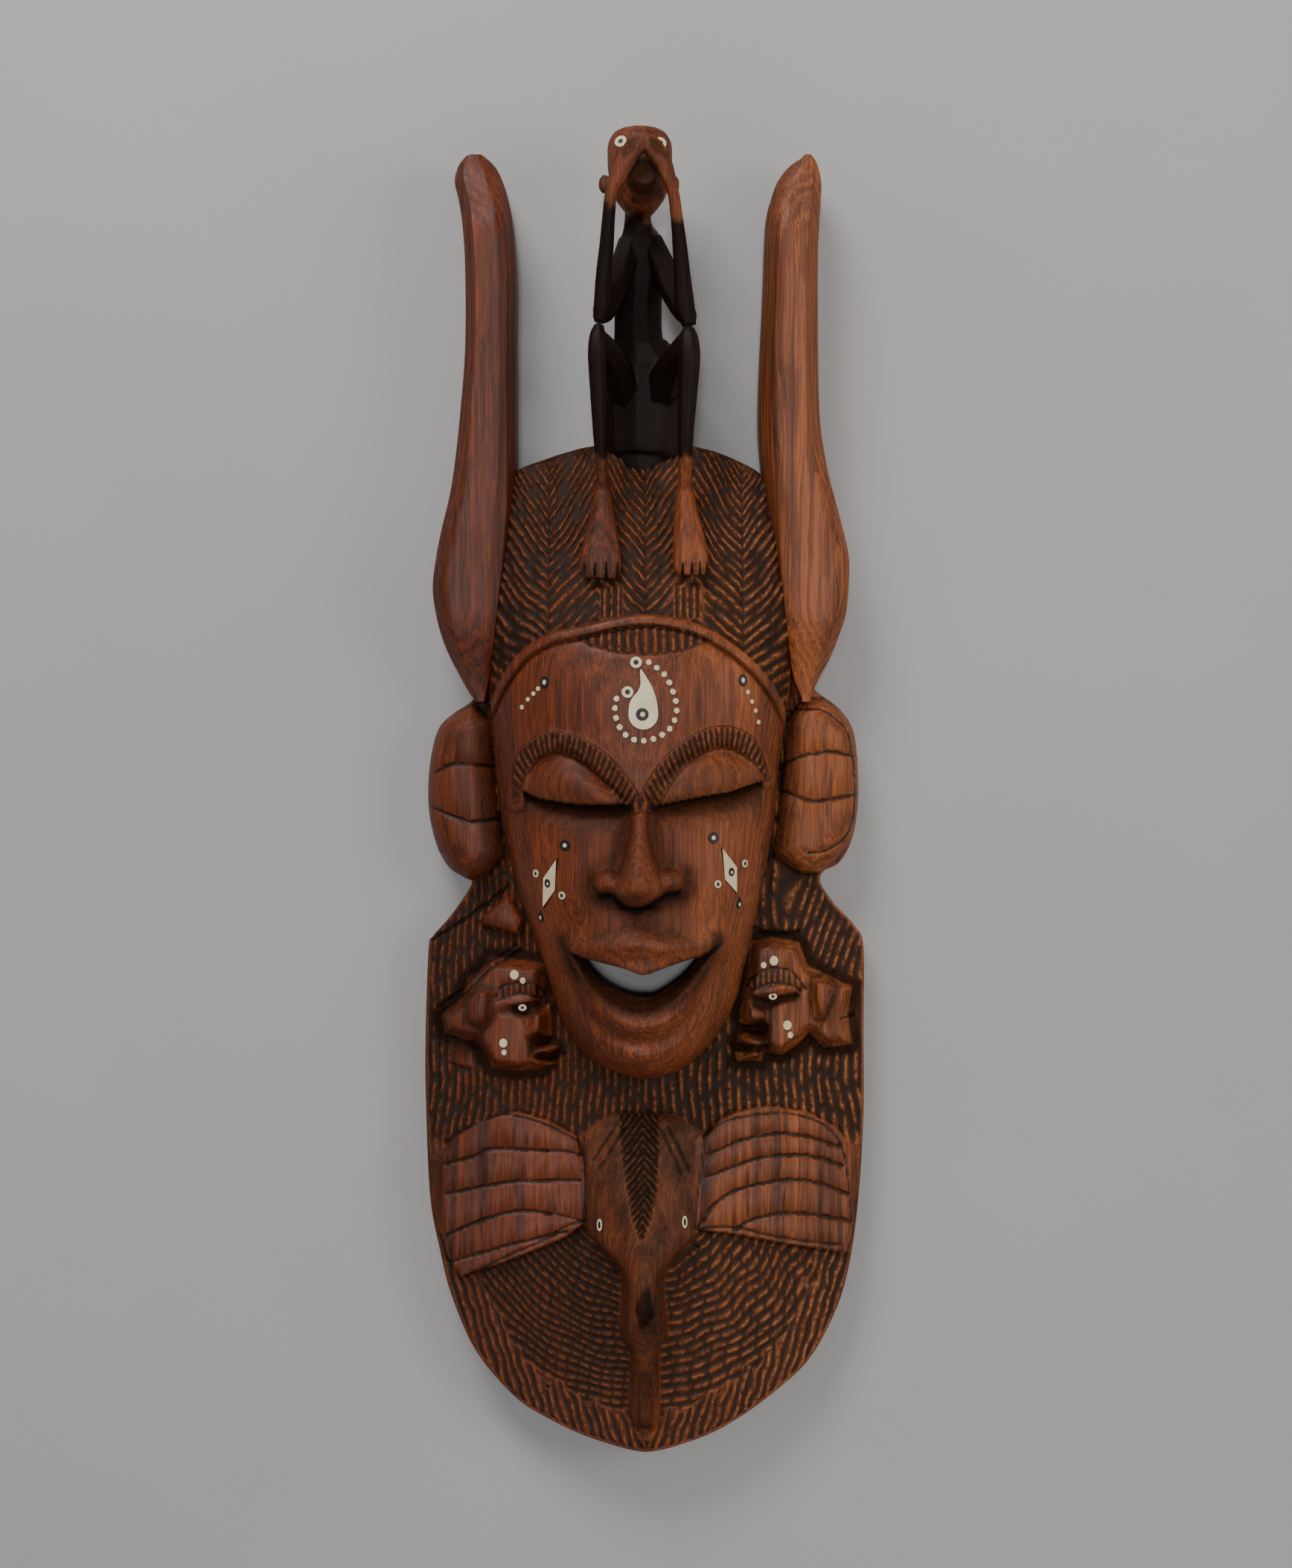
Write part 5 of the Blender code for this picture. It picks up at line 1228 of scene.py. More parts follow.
class Shells:
    """Closed shells gathered to make one object."""

    def __init__(self):
        self.points = []
        self.faces = []
        self.ends = []
        self.count = 0

    def add(self, outline, low, high, place):
        """A plug with a small bevel round its top."""
        bevel = min(0.12 * UNIT, 0.2 * (high - low))
        points, quads, ends = prism_mesh(outline, ((low, 0.0), (high - bevel, 0.0), (high, bevel)), place)
        self.points.append(points)
        self.faces.append(quads + self.count)
        self.ends += [end + self.count for end in ends]
        self.count += len(points)

    def finish(self, name):
        """The object made of every shell."""
        made = piece(name, mesh_of(name, place_of(np.vstack(self.points)), np.vstack(self.faces), self.ends))
        face_outwards(made.data)
        return smooth(made, math.radians(35.0))


def seat_of(spot, facing=None, height=None):
    """The frame of an inlay at a spot: its base on the front, its two directions along it and its normal."""
    if facing is None:
        base, across, along, normal = surface_frame(spot)
    else:
        normal = Vector(facing).normalized()
        across = (Vector((1.0, 0.0, 0.0)) - normal * normal.x).normalized()
        along = normal.cross(across)
        base = Vector((*spot, height))
    return Matrix.Translation(base) @ Matrix((across, along, normal)).transposed().to_4x4()


def surface_frame(spot):
    """Where the front lies over a spot, with its outward normal and two directions along it."""
    x, y = spot
    reach = 2.5 * UNIT
    around = np.array([[x, y], [x + reach, y], [x - reach, y], [x, y + reach], [x, y - reach]])
    z = front_height(around[:, 0], around[:, 1])
    normal = Vector((-(z[1] - z[2]) / (2 * reach), -(z[3] - z[4]) / (2 * reach), 1.0)).normalized()
    across = Vector((1.0, 0.0, 0.0))
    across = (across - normal * across.dot(normal)).normalized()
    return Vector((x, y, z[0])), across, normal.cross(across), normal


class Inlays:
    """The bone, the black and the dark glue lines of a group of inlays, and the nodes that they stand for."""

    def __init__(self):
        self.bone = Shells()
        self.black = Shells()
        self.glue = Shells()
        self.nodes = []

    def plug(self, node, spot, outline, tone, centres=(), seat=None):
        """An inlay at a spot. Its centres are (outline, tone) pairs, set one on the other."""
        place = seat or seat_of(spot)
        self.nodes.append(node)
        self.glue.add(grown_outline(outline, 0.28 * UNIT), -INLAY_DEPTH, 0.25 * INLAY_PROUD, place)
        getattr(self, tone).add(outline, -INLAY_DEPTH, INLAY_PROUD, place)
        for layer, (inner, inner_tone) in enumerate(centres, 1):
            getattr(self, inner_tone).add(inner, 0.0, INLAY_PROUD + layer * 0.10 * UNIT, place)

    def finish(self, group, settings):
        """The objects of this group, dressed and tied to the nodes that they stand for."""
        made = []
        for shells, tone, slot in ((self.bone, "bone", "bone"), (self.black, "black", "blackened_wood"),
                                   (self.glue, "glue_line", "blackened_wood")):
            if shells.count:
                whole = shells.finish(f"{group}_{tone}")
                material = bone_material if tone == "bone" else black_material
                whole.data.materials.append(material(settings))
                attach(whole, "root")
                made.append(whole)
        for whole in made:
            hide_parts(*self.nodes)


def oval(radius, stretch=1.0, sides=28, shift=(0.0, 0.0)):
    """A circle or an upright oval, counter-clockwise, with sizes in parts."""
    turn = np.linspace(0.0, 2.0 * math.pi, sides, endpoint=False)
    return UNIT * (radius * np.stack([np.cos(turn), stretch * np.sin(turn)], axis=1) + np.array(shift))


def centre(kind, tone, shift=(0.0, 0.0)):
    """The small oval set on an inlay of a kind, with its tone."""
    return oval(*CENTRES[kind], shift=shift), tone


def chip(size, turn, seed):
    """A hand-cut dot: a small square with cut corners, none quite like the next."""
    draw = np.random.default_rng(seed)
    corner = turn + (np.arange(8) + 0.5) * math.pi / 4.0 + draw.uniform(-0.12, 0.12, 8)
    reach = 0.5 * size * np.where(np.arange(8) % 2 == 0, 1.12, 1.18) * draw.uniform(0.90, 1.08, 8)
    return UNIT * reach[:, None] * np.stack([np.cos(corner), np.sin(corner)], axis=1)


def curved(outline, steps=4):
    """A closed outline with its sides bent into a smooth curve."""
    count = len(outline)
    wrapped = np.vstack([outline[-2:], outline, outline[:3]])
    line = curve_through(wrapped, steps)
    return line[2 * steps:(count + 2) * steps]


def hex_colour(code):
    """A colour in the shader's own space from its sRGB hex code."""
    value = np.array([int(code[i:i + 2], 16) / 255.0 for i in (1, 3, 5)])
    linear = np.where(value <= 0.04045, value / 12.92, ((value + 0.055) / 1.055) ** 2.4)
    return (*linear.tolist(), 1.0)


class Nodes:
    """A material in the making, with its shader and the functions that add nodes to it."""

    def __init__(self, name):
        self.made = bpy.data.materials.new(name)
        self.made.use_nodes = True
        self.tree = self.made.node_tree
        self.place = self.add("ShaderNodeTexCoord").outputs["Object"]

    def add(self, kind, inputs=None, **settings):
        """Add a node, set its options, and set or link its inputs."""
        node = self.tree.nodes.new(kind)
        for key, value in settings.items():
            setattr(node, key, value)
        self.fill(node, inputs or {})
        return node

    def fill(self, node, inputs):
        """Set a node's inputs to values, or link them to other nodes."""
        for key, value in inputs.items():
            if isinstance(value, bpy.types.NodeSocket):
                self.tree.links.new(value, node.inputs[key])
            else:
                node.inputs[key].default_value = value

    def finish(self, **inputs):
        """The material, with its shader's inputs filled in: an input's name is written with _ for a space."""
        named = {key.replace("_", " "): value for key, value in inputs.items()}
        self.fill(self.tree.nodes["Principled BSDF"], named)
        return self.made

    def noise(self, scale, detail, roughness=0.5, place=None):
        """Cloudy values, over the object unless another place is given."""
        inputs = {"Vector": place or self.place, "Scale": scale, "Detail": detail, "Roughness": roughness}
        return self.add("ShaderNodeTexNoise", inputs).outputs["Fac"]

    def stretched(self, place, scale, shift=(0.0, 0.0, 0.0)):
        """Places moved and scaled along each axis."""
        return self.add("ShaderNodeMapping", {"Vector": place, "Location": shift, "Scale": scale}).outputs[0]

    def spread(self, value, low, high, first=0.0, last=1.0):
        """A value's range from low to high laid onto the range from first to last, and kept in it."""
        inputs = {"Value": value, "From Min": low, "From Max": high, "To Min": first, "To Max": last}
        return self.add("ShaderNodeMapRange", inputs).outputs[0]

    def stored(self, name):
        """A value that the carving stored at each point."""
        return self.add("ShaderNodeAttribute", attribute_name=name).outputs["Fac"]

    def vector_maths(self, kind, inputs):
        """One sum on places or directions."""
        return self.add("ShaderNodeVectorMath", inputs, operation=kind).outputs[0]

    def mixed(self, share, first, second, blend="MIX"):
        """A colour between two others."""
        return self.add("ShaderNodeMix", {0: share, 6: first, 7: second}, data_type="RGBA", blend_type=blend,
                        clamp_factor=True).outputs[2]

    def ramp(self, value, stops):
        """Colours laid along a value."""
        node = self.add("ShaderNodeValToRGB", {0: value})
        while len(node.color_ramp.elements) < len(stops):
            node.color_ramp.elements.new(0.5)
        for element, (place, colour) in zip(node.color_ramp.elements, stops):
            element.position = place
            element.color = colour
        return node.outputs[0]

    def maths(self, kind, first, second):
        """One sum on values."""
        return self.add("ShaderNodeMath", {0: first, 1: second}, operation=kind).outputs[0]

    def times(self, first, second):
        """One value times another."""
        return self.maths("MULTIPLY", first, second)

    def times_plus(self, first, second, third):
        """One value times another, and a third added."""
        inputs = {0: first, 1: second, 2: third}
        return self.add("ShaderNodeMath", inputs, operation="MULTIPLY_ADD").outputs[0]


def wood_material(settings):
    """Oiled rosewood: rings cut through by the carving, fine pores along the grain, stained and worn cuts,
    and painted shade and highlight over the carving.
    """
    if "oiled rosewood" in bpy.data.materials:
        return bpy.data.materials["oiled rosewood"]
    nodes = Nodes("oiled rosewood")
    place = nodes.place
    # Growth rings run along the plank, so domes show ovals and flat boards show streaks
    bent = nodes.stretched(place, (1.0, 0.12, 1.5), (0.03, 0.0, 0.20))
    warp = nodes.add("ShaderNodeTexNoise", {"Vector": bent, "Scale": 12.0, "Detail": 4.0, "Roughness": 0.6})
    shifted = nodes.vector_maths("SUBTRACT", {0: warp.outputs["Color"], 1: (0.5, 0.5, 0.5)})
    grown = nodes.vector_maths("ADD", {0: bent, 1: nodes.vector_maths("SCALE", {0: shifted, "Scale": 0.045})})
    rings = nodes.add("ShaderNodeTexWave", {"Vector": grown, "Scale": 62.0, "Distortion": 1.4, "Detail": 3.0,
                                            "Detail Scale": 2.5, "Detail Roughness": 0.6},
                      wave_type="RINGS", rings_direction="Y", wave_profile="SIN")
    figure = nodes.times_plus(rings.outputs["Fac"], 0.05, 0.02)
    # Broad streaks a few centimetres apart, narrow ones of a few millimetres, and single fibres
    for across, along, detail, share, over in ((30.0, 2.2, 3.0, 0.40, place), (210.0, 4.0, 3.0, 0.20, grown),
                                               (950.0, 16.0, 2.0, 0.40, grown)):
        streak = nodes.noise(1.0, detail, 0.6, nodes.stretched(over, (across, along, across)))
        figure = nodes.times_plus(streak, share, figure)
    light, mid, dark = (tuple(c) for c in (settings.wood_light, settings.wood_mid, settings.wood_dark))
    colour = nodes.ramp(figure, ((0.42, dark), (0.54, mid), (0.68, light)))
    # The left side is redder and darker, the right side more golden and lighter: partly the wood's own tone,
    # partly painted light, as if lit more from the right
    side = nodes.spread(nodes.add("ShaderNodeSeparateXYZ", {0: place}).outputs[0], -0.10, 0.10)
    cloud = nodes.noise(13.0, 2.0)
    side = nodes.maths("ADD", nodes.times(side, 0.65), nodes.times(cloud, 0.45))
    tone_and_side_light = nodes.ramp(side, ((0.1, hex_colour("#bd8a64")), (0.55, hex_colour("#dcb48c")),
                             (0.95, hex_colour("#ffe8c2"))))
    colour = nodes.mixed(1.0, colour, tone_and_side_light, "MULTIPLY")
    # Pores: short dark dashes along the grain
    pores = nodes.noise(1.0, 2.0, 0.6, nodes.stretched(place, (1500.0, 70.0, 1500.0)))
    pore = nodes.spread(pores, 0.60, 0.74)
    colour = nodes.mixed(nodes.times(pore, 0.42), colour, hex_colour("#2a130b"))
    # Gouged areas were stained darker; the same stain colour is laid as painted shade in hollows, under the
    # lids and nose and round raised forms. Ridges are lighter, partly rubbed back to warm wood and partly a
    # painted highlight, and valleys nearly black with painted shade
    cut, stain, black, hewn = (nodes.stored(name) for name in ("cut", "stain", "black", "hewn"))
    fleck = nodes.noise(260.0, 3.0, 0.7)
    patchy = nodes.spread(cloud, 0.35, 0.65, 0.75, 1.1)
    deep_stain_and_shade, thin_stain_and_shade = tuple(settings.stain_colour), tuple(settings.stain_worn)
    stained = nodes.mixed(nodes.spread(fleck, 0.40, 0.66), deep_stain_and_shade, thin_stain_and_shade)
    colour = nodes.mixed(nodes.times(nodes.times(stain, patchy), 0.80), colour, stained)
    # Lighter ridges: partly rubbed wear, partly a painted highlight
    ridge_wear_and_highlight = nodes.times(nodes.times(nodes.spread(cut, 0.72, 0.24), nodes.spread(hewn, 0.0, 1.0)),
                         nodes.spread(fleck, 0.40, 0.60))
    ridge = nodes.mixed(1.0, tuple(settings.ridge_wear_and_highlight_colour), tone_and_side_light, "MULTIPLY")
    colour = nodes.mixed(nodes.times(ridge_wear_and_highlight, 0.80), colour, ridge)
    # Painted shade: the bottoms of cuts, and the places marked under the lids and the nose, go nearly black
    deep = nodes.times(nodes.spread(cut, 0.66, 1.0), 0.88)
    colour = nodes.mixed(deep, colour, tuple(settings.groove_shade_colour))
    # Black wood, and painted shade gone nearly black in the deepest hollows
    colour = nodes.mixed(black, colour, nodes.mixed(fleck, hex_colour("#050404"), hex_colour("#120d0a")))
    # Satin where it is smooth, duller in the stained cuts
    dull = nodes.times_plus(fleck, 0.10, nodes.times_plus(stain, 0.14, 0.46))
    shine = nodes.times_plus(black, -0.20, nodes.times_plus(stain, -0.20, 0.40))
    # Pores and tool marks stand out a little in raking light
    relief = nodes.times_plus(fleck, nodes.times_plus(stain, 0.9, 0.12), nodes.times(pore, -0.10))
    raised = nodes.add("ShaderNodeBump", {"Height": relief, "Strength": 0.45, "Distance": 0.0006}).outputs[0]
    return nodes.finish(Base_Color=colour, Roughness=dull, Specular_IOR_Level=shine, Normal=raised)


def bone_material(settings):
    """Cut bone: cream, a little cloudy, with a few brown flecks and a soft polish."""
    if "cut bone" in bpy.data.materials:
        return bpy.data.materials["cut bone"]
    nodes = Nodes("cut bone")
    cloud = nodes.noise(90.0, 3.0)
    colour = nodes.mixed(cloud, tuple(settings.bone_colour), hex_colour("#d8c192"))
    spot = nodes.spread(nodes.noise(700.0, 2.0), 0.66, 0.74)
    colour = nodes.mixed(nodes.times(spot, 0.45), colour, hex_colour("#6f5637"))
    return nodes.finish(Base_Color=colour, Roughness=nodes.times_plus(cloud, 0.2, 0.32))


def black_material(settings):
    """Polished black horn: nearly black, with faint grey clouds."""
    if "black horn" in bpy.data.materials:
        return bpy.data.materials["black horn"]
    nodes = Nodes("black horn")
    cloud = nodes.noise(320.0, 2.0)
    return nodes.finish(Base_Color=nodes.mixed(cloud, tuple(settings.black_colour), hex_colour("#15151a")),
                        Roughness=nodes.times_plus(cloud, 0.15, 0.42))


def floor_material(settings):
    """Matt painted board under the mask: pale grey, with a faint unevenness."""
    nodes = Nodes("pale floor")
    share = nodes.times_plus(nodes.noise(900.0, 1.0), 0.3, nodes.times(nodes.noise(3.0, 3.0), 0.7))
    return nodes.finish(Base_Color=nodes.mixed(share, tuple(settings.floor_colour), hex_colour("#adadaf")),
                        Roughness=0.85)


def colour_property(label, words, default):
    """A colour that the user can change, first set from its hex code."""
    return bpy.props.FloatVectorProperty(name=label, description=words, default=hex_colour(default), size=4,
                                         min=0.0, max=1.0, subtype="COLOR")


class MaskSettings(bpy.types.PropertyGroup):
    """Sizes and colours of the mask."""

    grain: bpy.props.FloatProperty(name="Relief step", description="Distance between points of the relief",
                                   default=0.0010, min=0.0006, max=0.004, unit="LENGTH")
    faces: bpy.props.IntProperty(name="Relief faces", description="About how many triangles the block keeps",
                                 default=180000, min=20000, max=195000)
    figure_grain: bpy.props.FloatProperty(name="Figure step", description="Fineness of the crest figure",
                                          default=0.0008, min=0.0005, max=0.003, unit="LENGTH")
    horn_step: bpy.props.FloatProperty(name="Horn step", description="Distance between rings along each horn",
                                       default=0.0030, min=0.001, max=0.02, unit="LENGTH")
    wood_light: colour_property("Light wood", "Palest streaks of the rosewood", "#b47248")
    wood_mid: colour_property("Mid wood", "Usual colour of the rosewood", "#804b2e")
    wood_dark: colour_property("Dark wood", "Dark streaks of the rosewood", "#432515")
    # The stain colours serve both the stain of the gouge work and the painted shade in hollows
    stain_colour: colour_property("Stain", "Colour of the stained gouge work", "#26170e")
    stain_worn: colour_property("Worn stain", "Where the stain is thin", "#4a2e1b")
    # Ridges: partly rubbed back to the wood, partly a painted highlight
    ridge_wear_and_highlight_colour: colour_property("Rubbed ridges", "Ridges rubbed back to the wood", "#b27f61")
    # Colour of the painted shade at the bottoms of the deepest cuts
    groove_shade_colour: colour_property("Grooves", "Bottom of the deepest cuts", "#1c120b")
    bone_colour: colour_property("Bone", "Palest colour of the bone", "#f0e2bf")
    black_colour: colour_property("Black", "Colour of the black inlays", "#050507")
    floor_colour: colour_property("Floor", "Colour of the floor", "#c1c1c3")
    light_power: bpy.props.FloatProperty(name="Main light", description="Power of the main light",
                                         default=34.0, min=0.0, max=500.0, unit="POWER")


def dress(made, settings):
    """The wood's material, body and slot on a piece of the block, its points kept inside the solids' box."""
    points = np.clip(place_of(corners(made)), *np.array(CAD_BOX))
    made.data.vertices.foreach_set("co", points.astype(np.float32).ravel())
    made.data.update()
    made.data.materials.clear()
    made.data.materials.append(wood_material(settings))
    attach(made, "root")
    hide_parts("mask_body")


class MASK_OT_block(bpy.types.Operator):
    """The carved block: its front is the height of the face, cap, ears and elephant, less every stroke."""

    bl_idname = "mask.block"
    bl_label = "Carved block"

    def execute(self, context):
        settings = context.scene.mask_settings
        made = carved_block(settings.grain, settings.faces)
        slit = curved(master(*MOUTH_SLIT), 5)
        shape = Shells()
        shape.add(slit, -PLATE_EDGE, FOREHEAD + NOSE_RISE, Matrix.Identity(4))
        cut_away(made, [shape.finish("mouth slit")])
        x, y, z = corners(made).T
        work = carve(x, y)
        front = ease(0.2, 0.5, z / np.maximum(block_height(x, y) + work.relief, 0.005))
        stain = np.maximum(work.stain * front, 0.35 * (1.0 - front))
        store(made, cut=work.cut * front, stain=stain, black=work.black * front, hewn=work.hewn * front)
        dress(smooth(made), settings)
        return {"FINISHED"}


def soft_corners(ring, radius):
    """A ring of corners, each turned into five points, so that it catches a thin line of light."""
    before = np.roll(ring, 1, axis=0) - ring
    after = np.roll(ring, -1, axis=0) - ring
    back = np.linalg.norm(before, axis=1)[:, None]
    fore = np.linalg.norm(after, axis=1)[:, None]
    first = ring + before / back * np.minimum(radius, 0.3 * back)
    last = ring + after / fore * np.minimum(radius, 0.3 * fore)
    middle = 0.5 * ring + 0.25 * (first + last)
    early = ring + before / back * np.minimum(2.2 * radius, 0.42 * back)
    late = ring + after / fore * np.minimum(2.2 * radius, 0.42 * fore)
    return np.stack([early, first, middle, last, late], axis=1).reshape(-1, 2)


def horn_ring(lines, side, v):
    """One ring of a horn at a height: flat front, bevelled outer edge, slanted inner face, flat back."""
    out, into, fold = (profile(line, v) * UNIT for line in lines)
    tip = ease(370.0, 432.0, v)
    front = HORN_FRONT - HORN_TIP_DROP * tip - HORN_FOOT_DROP * ease(120.0, 54.0, v)
    back = HORN_BACK + 0.5 * HORN_TIP_DROP * tip
    bevel = min(HORN_BEVEL, 0.25 * abs(out - into))
    ring = np.array([
        (out, back + bevel), (out, front - 1.6 * bevel), (out - side * bevel, front - 0.3 * bevel),
        (0.75 * out + 0.25 * fold, front), (0.2 * out + 0.8 * fold, front), (fold, front - 0.3 * bevel),
        (into, front - 0.3 * (front - back)), (into, back + 0.5 * bevel), (into + side * 0.5 * bevel, back),
        (out - side * bevel, back)])
    ring = soft_corners(ring, 1.3 * UNIT)
    return np.column_stack([ring[:, 0], np.full(len(ring), v * UNIT), ring[:, 1]])


class MASK_OT_horns(bpy.types.Operator):
    """The two horns: a flat front, a bevelled outer edge and a slanted inner face, along drawn edges."""

    bl_idname = "mask.horns"
    bl_label = "Horns"

    def execute(self, context):
        settings = context.scene.mask_settings
        low, high = HORN_BODY
        count = int(round((high - low) * UNIT / settings.horn_step))
        rows = np.concatenate([np.linspace(low, high, count), HORN_TIP])
        for side_name, lines, knot in (("left", HORN_LEFT, KNOTS[0]), ("right", HORN_RIGHT, KNOTS[1])):
            lines = [np.array(line, dtype=float) for line in lines]
            side = np.sign(lines[0][0, 1])
            rings = np.array([horn_ring(lines, side, v) for v in rows])
            wave = 0.35 * UNIT * wander(rings[..., 0], 0.35 * rings[..., 1], 12.0, 21)
            rings[..., 2] -= np.abs(wave) * ease(0.02, 0.05, rings[..., 2])
            made = tube(f"horn_{side_name}", rings)
            x, y, z = corners(made).T
            u, v = x / UNIT, y / UNIT
            inner_face = ease(0.5, 2.5, side * (profile(lines[2], v) - u))
            foot = (1.0 - ease(70.0, 215.0, v)) * inner_face
            knot_gap = np.hypot(u - knot[0], 0.8 * (v - knot[1]))
            # Painted shade on each horn's inner face, heavier towards its foot; the knot is a dark spot in
            # the wood
            store(made, cut=0.9 * falling(knot_gap, 3.0), stain=0.45 * inner_face + 0.4 * foot,
                  black=np.zeros(len(x)), hewn=np.zeros(len(x)))
            dress(smooth(made, math.radians(32.0)), settings)
        return {"FINISHED"}


class MASK_OT_crest(bpy.types.Operator):
    """The crest figure: elliptical rings along each limb, grown together, black but for its head and feet."""

    bl_idname = "mask.crest"
    bl_label = "Crest figure"

    def execute(self, context):
        settings = context.scene.mask_settings
        whole = bmesh.new()
        limbs = FOREARMS + UPPER_ARMS + THIGHS + SHINS
        for groups, sides in (((TORSO,), 11), ((HEAD, MUZZLE), 14), (limbs, 7), (FEET, 12),
                              (EARS_OF_FIGURE, 14)):
            for stations in groups:
                limb = tube("limb", limb_rings(fine_stations(stations), sides))
                whole.from_mesh(limb.data)
                bpy.data.objects.remove(limb)
        mesh = bpy.data.meshes.new("crest_figure")
        whole.to_mesh(mesh)
        whole.free()
        made = piece("crest_figure", mesh)
        grown = made.modifiers.new("grown together", "REMESH")
        grown.mode = "VOXEL"
        grown.voxel_size = settings.figure_grain
        softer = made.modifiers.new("worn edges", "SMOOTH")
        softer.factor = 0.5
        softer.iterations = 2
        thinned = made.modifiers.new("fewer faces", "DECIMATE")
        thinned.ratio = 0.35
        settled(made)
        cutters = [toe_gap(*gap) for gap in TOE_GAPS]
        for side, spot, facing in CREST_EYES:
            flat = Shells()
            flat.add(oval(EYE_FACET), *EYE_FACET_LEVELS, seat_of(master(spot[:2])[0], facing, spot[2] * UNIT))
            cutters.append(flat.finish("eye facet"))
        cut_away(made, cutters)
        x, y, z = corners(made).T
        u, v = x / UNIT, y / UNIT
        ragged = 2.0 * wander(x, y, 6.0, 31)
        top = np.where(u > 4.0, *BLACK_TOPS)
        point = 10.0 * falling(np.abs(u + 4.0), 12.0)
        low = np.where(np.abs(u + 2.0) < 22.0, BLACK_FOOT - point, BLACK_SHINS)
        black = ease(low - 2.0, low + 3.0, v + ragged) * (1.0 - ease(top - 4.0, top + 4.0, v + ragged))
        # Painted shade under the hands, on the hollow palms and in the gaps between the toes
        throat = ease(-1.0, 2.0, parts_inside(x, y, THROAT)) * (z < 0.104)
        palms = ease(-0.5, 1.0, np.max([parts_inside(x, y, palm) for palm in PALMS], axis=0)) * (z > 0.094)
        toes = np.zeros(len(x))
        for middle, low, high, wide in TOE_GAPS:
            half = 0.5 * wide * (high - v) / (high - low)
            beside = np.abs(u - middle) - half
            toes = np.maximum(toes, (v < high - 1.0) * (v > 130.0) * ease(0.9, 0.1, beside))
        plain = np.where(v > 300.0, 0.42, 0.18)
        store(made, cut=np.maximum(0.8 * throat, toes), black=np.maximum(0.96 * black, 0.35 * palms),
              stain=np.maximum.reduce([0.98 * throat, 0.75 * palms, toes, plain]), hewn=np.zeros(len(x)))
        dress(smooth(made, math.radians(40.0)), settings)
        return {"FINISHED"}


def toe_gap(middle, low, high, wide):
    """A wedge that parts two toes: nothing at its upper end, its full width at the tips."""
    half = 0.5 * wide
    wedge = Shells()
    outline = master((middle, high), (middle - half, low), (middle + half, low))
    wedge.add(outline, *TOE_LEVELS, Matrix.Identity(4))
    return wedge.finish("toe gap")


def fine_stations(stations):
    """More stations along a limb, on a smooth curve through the chosen ones."""
    return curve_through(np.array(stations, dtype=float), 4)


class MASK_OT_forehead(bpy.types.Operator):
    """The forehead's tear with its pupil, two rings and a row of hand-cut dots, set along the surface."""

    bl_idname = "mask.forehead"
    bl_label = "Forehead inlays"

    def execute(self, context):
        settings = context.scene.mask_settings
        group = Inlays()
        spot = master(FOREHEAD_TEAR)[0]
        tear = curved(tear_outline(TEAR_SIDES, TEAR_RADIUS, 10), 4)
        group.plug("forehead_tear", spot, tear, "bone",
                   (centre("tear", "black", (-0.7, 0.2)), centre("tear's pupil", "bone", (-0.4, 0.2))))
        for number, place in enumerate(master(*FOREHEAD_RINGS), 1):
            group.plug(f"forehead_ring_{number}", place, oval(RING_RADIUS), "bone",
                       (centre("ring", "black"),))
        row = curve_through(master(*FOREHEAD_ROW), 12)
        run = np.concatenate([[0.0], np.cumsum(np.hypot(*(row[1:] - row[:-1]).T))])
        for number, place in enumerate(np.linspace(0.0, run[-1], FOREHEAD_DOTS), 1):
            dot = np.array([np.interp(place, run, row[:, 0]), np.interp(place, run, row[:, 1])])
            away = math.atan2(dot[1] - spot[1], dot[0])
            group.plug(f"forehead_dot_{number:02d}", dot, chip(DOT_SIZE, away, number), "bone")
        group.finish("forehead", settings)
        return {"FINISHED"}


class MASK_OT_sides(bpy.types.Operator):
    """The temples' and cheeks' discs, dots, diamonds, rings and drops: outlines set along the surface."""

    bl_idname = "mask.sides"
    bl_label = "Temple and cheek inlays"

    def execute(self, context):
        settings = context.scene.mask_settings
        temples = Inlays()
        for side, disc, dots in TEMPLES:
            temples.plug(f"temple_{side}_disc", master(disc)[0], oval(0.86 * DISC_RADIUS, 1.25), "black",
                         (centre("temple disc", "bone"),))
            lean = math.atan2(dots[-1][1] - dots[0][1], dots[-1][0] - dots[0][0])
            for number, spot in enumerate(master(*dots), 1):
                dot = chip(0.8 * DOT_SIZE, lean, 40 + number)
                temples.plug(f"temple_{side}_dot_{number}", spot, dot, "bone")
        temples.finish("temples", settings)
        cheeks = Inlays()
        for side, disc, corner_points, rings, drop in CHEEKS_SET:
            cheeks.plug(f"cheek_{side}_disc", master(disc)[0], oval(DISC_RADIUS), "black",
                        (centre("cheek disc", "bone"),))
            diamond = master(*corner_points)
            middle = diamond.mean(axis=0)
            eye = (-1.3, 0.3) if side == "left" else (0.8, 0.0)
            cheeks.plug(f"cheek_{side}_diamond", middle, diamond - middle, "bone",
                        (centre("diamond", "black", eye),
                         centre("diamond's pupil", "bone", (eye[0] + 0.2, eye[1] - 0.3))))
            for number, spot in enumerate(master(*rings), 1):
                cheeks.plug(f"cheek_{side}_ring_{number}", spot, oval(SMALL_RING_RADIUS), "bone",
                            (centre("cheek ring", "black"),))
            outline = tear_outline(DROP_SIDES, DROP_RADIUS, 12)
            cheeks.plug(f"cheek_{side}_drop", master(drop)[0], outline, "black", (centre("drop", "bone"),))
        cheeks.finish("cheeks", settings)
        return {"FINISHED"}


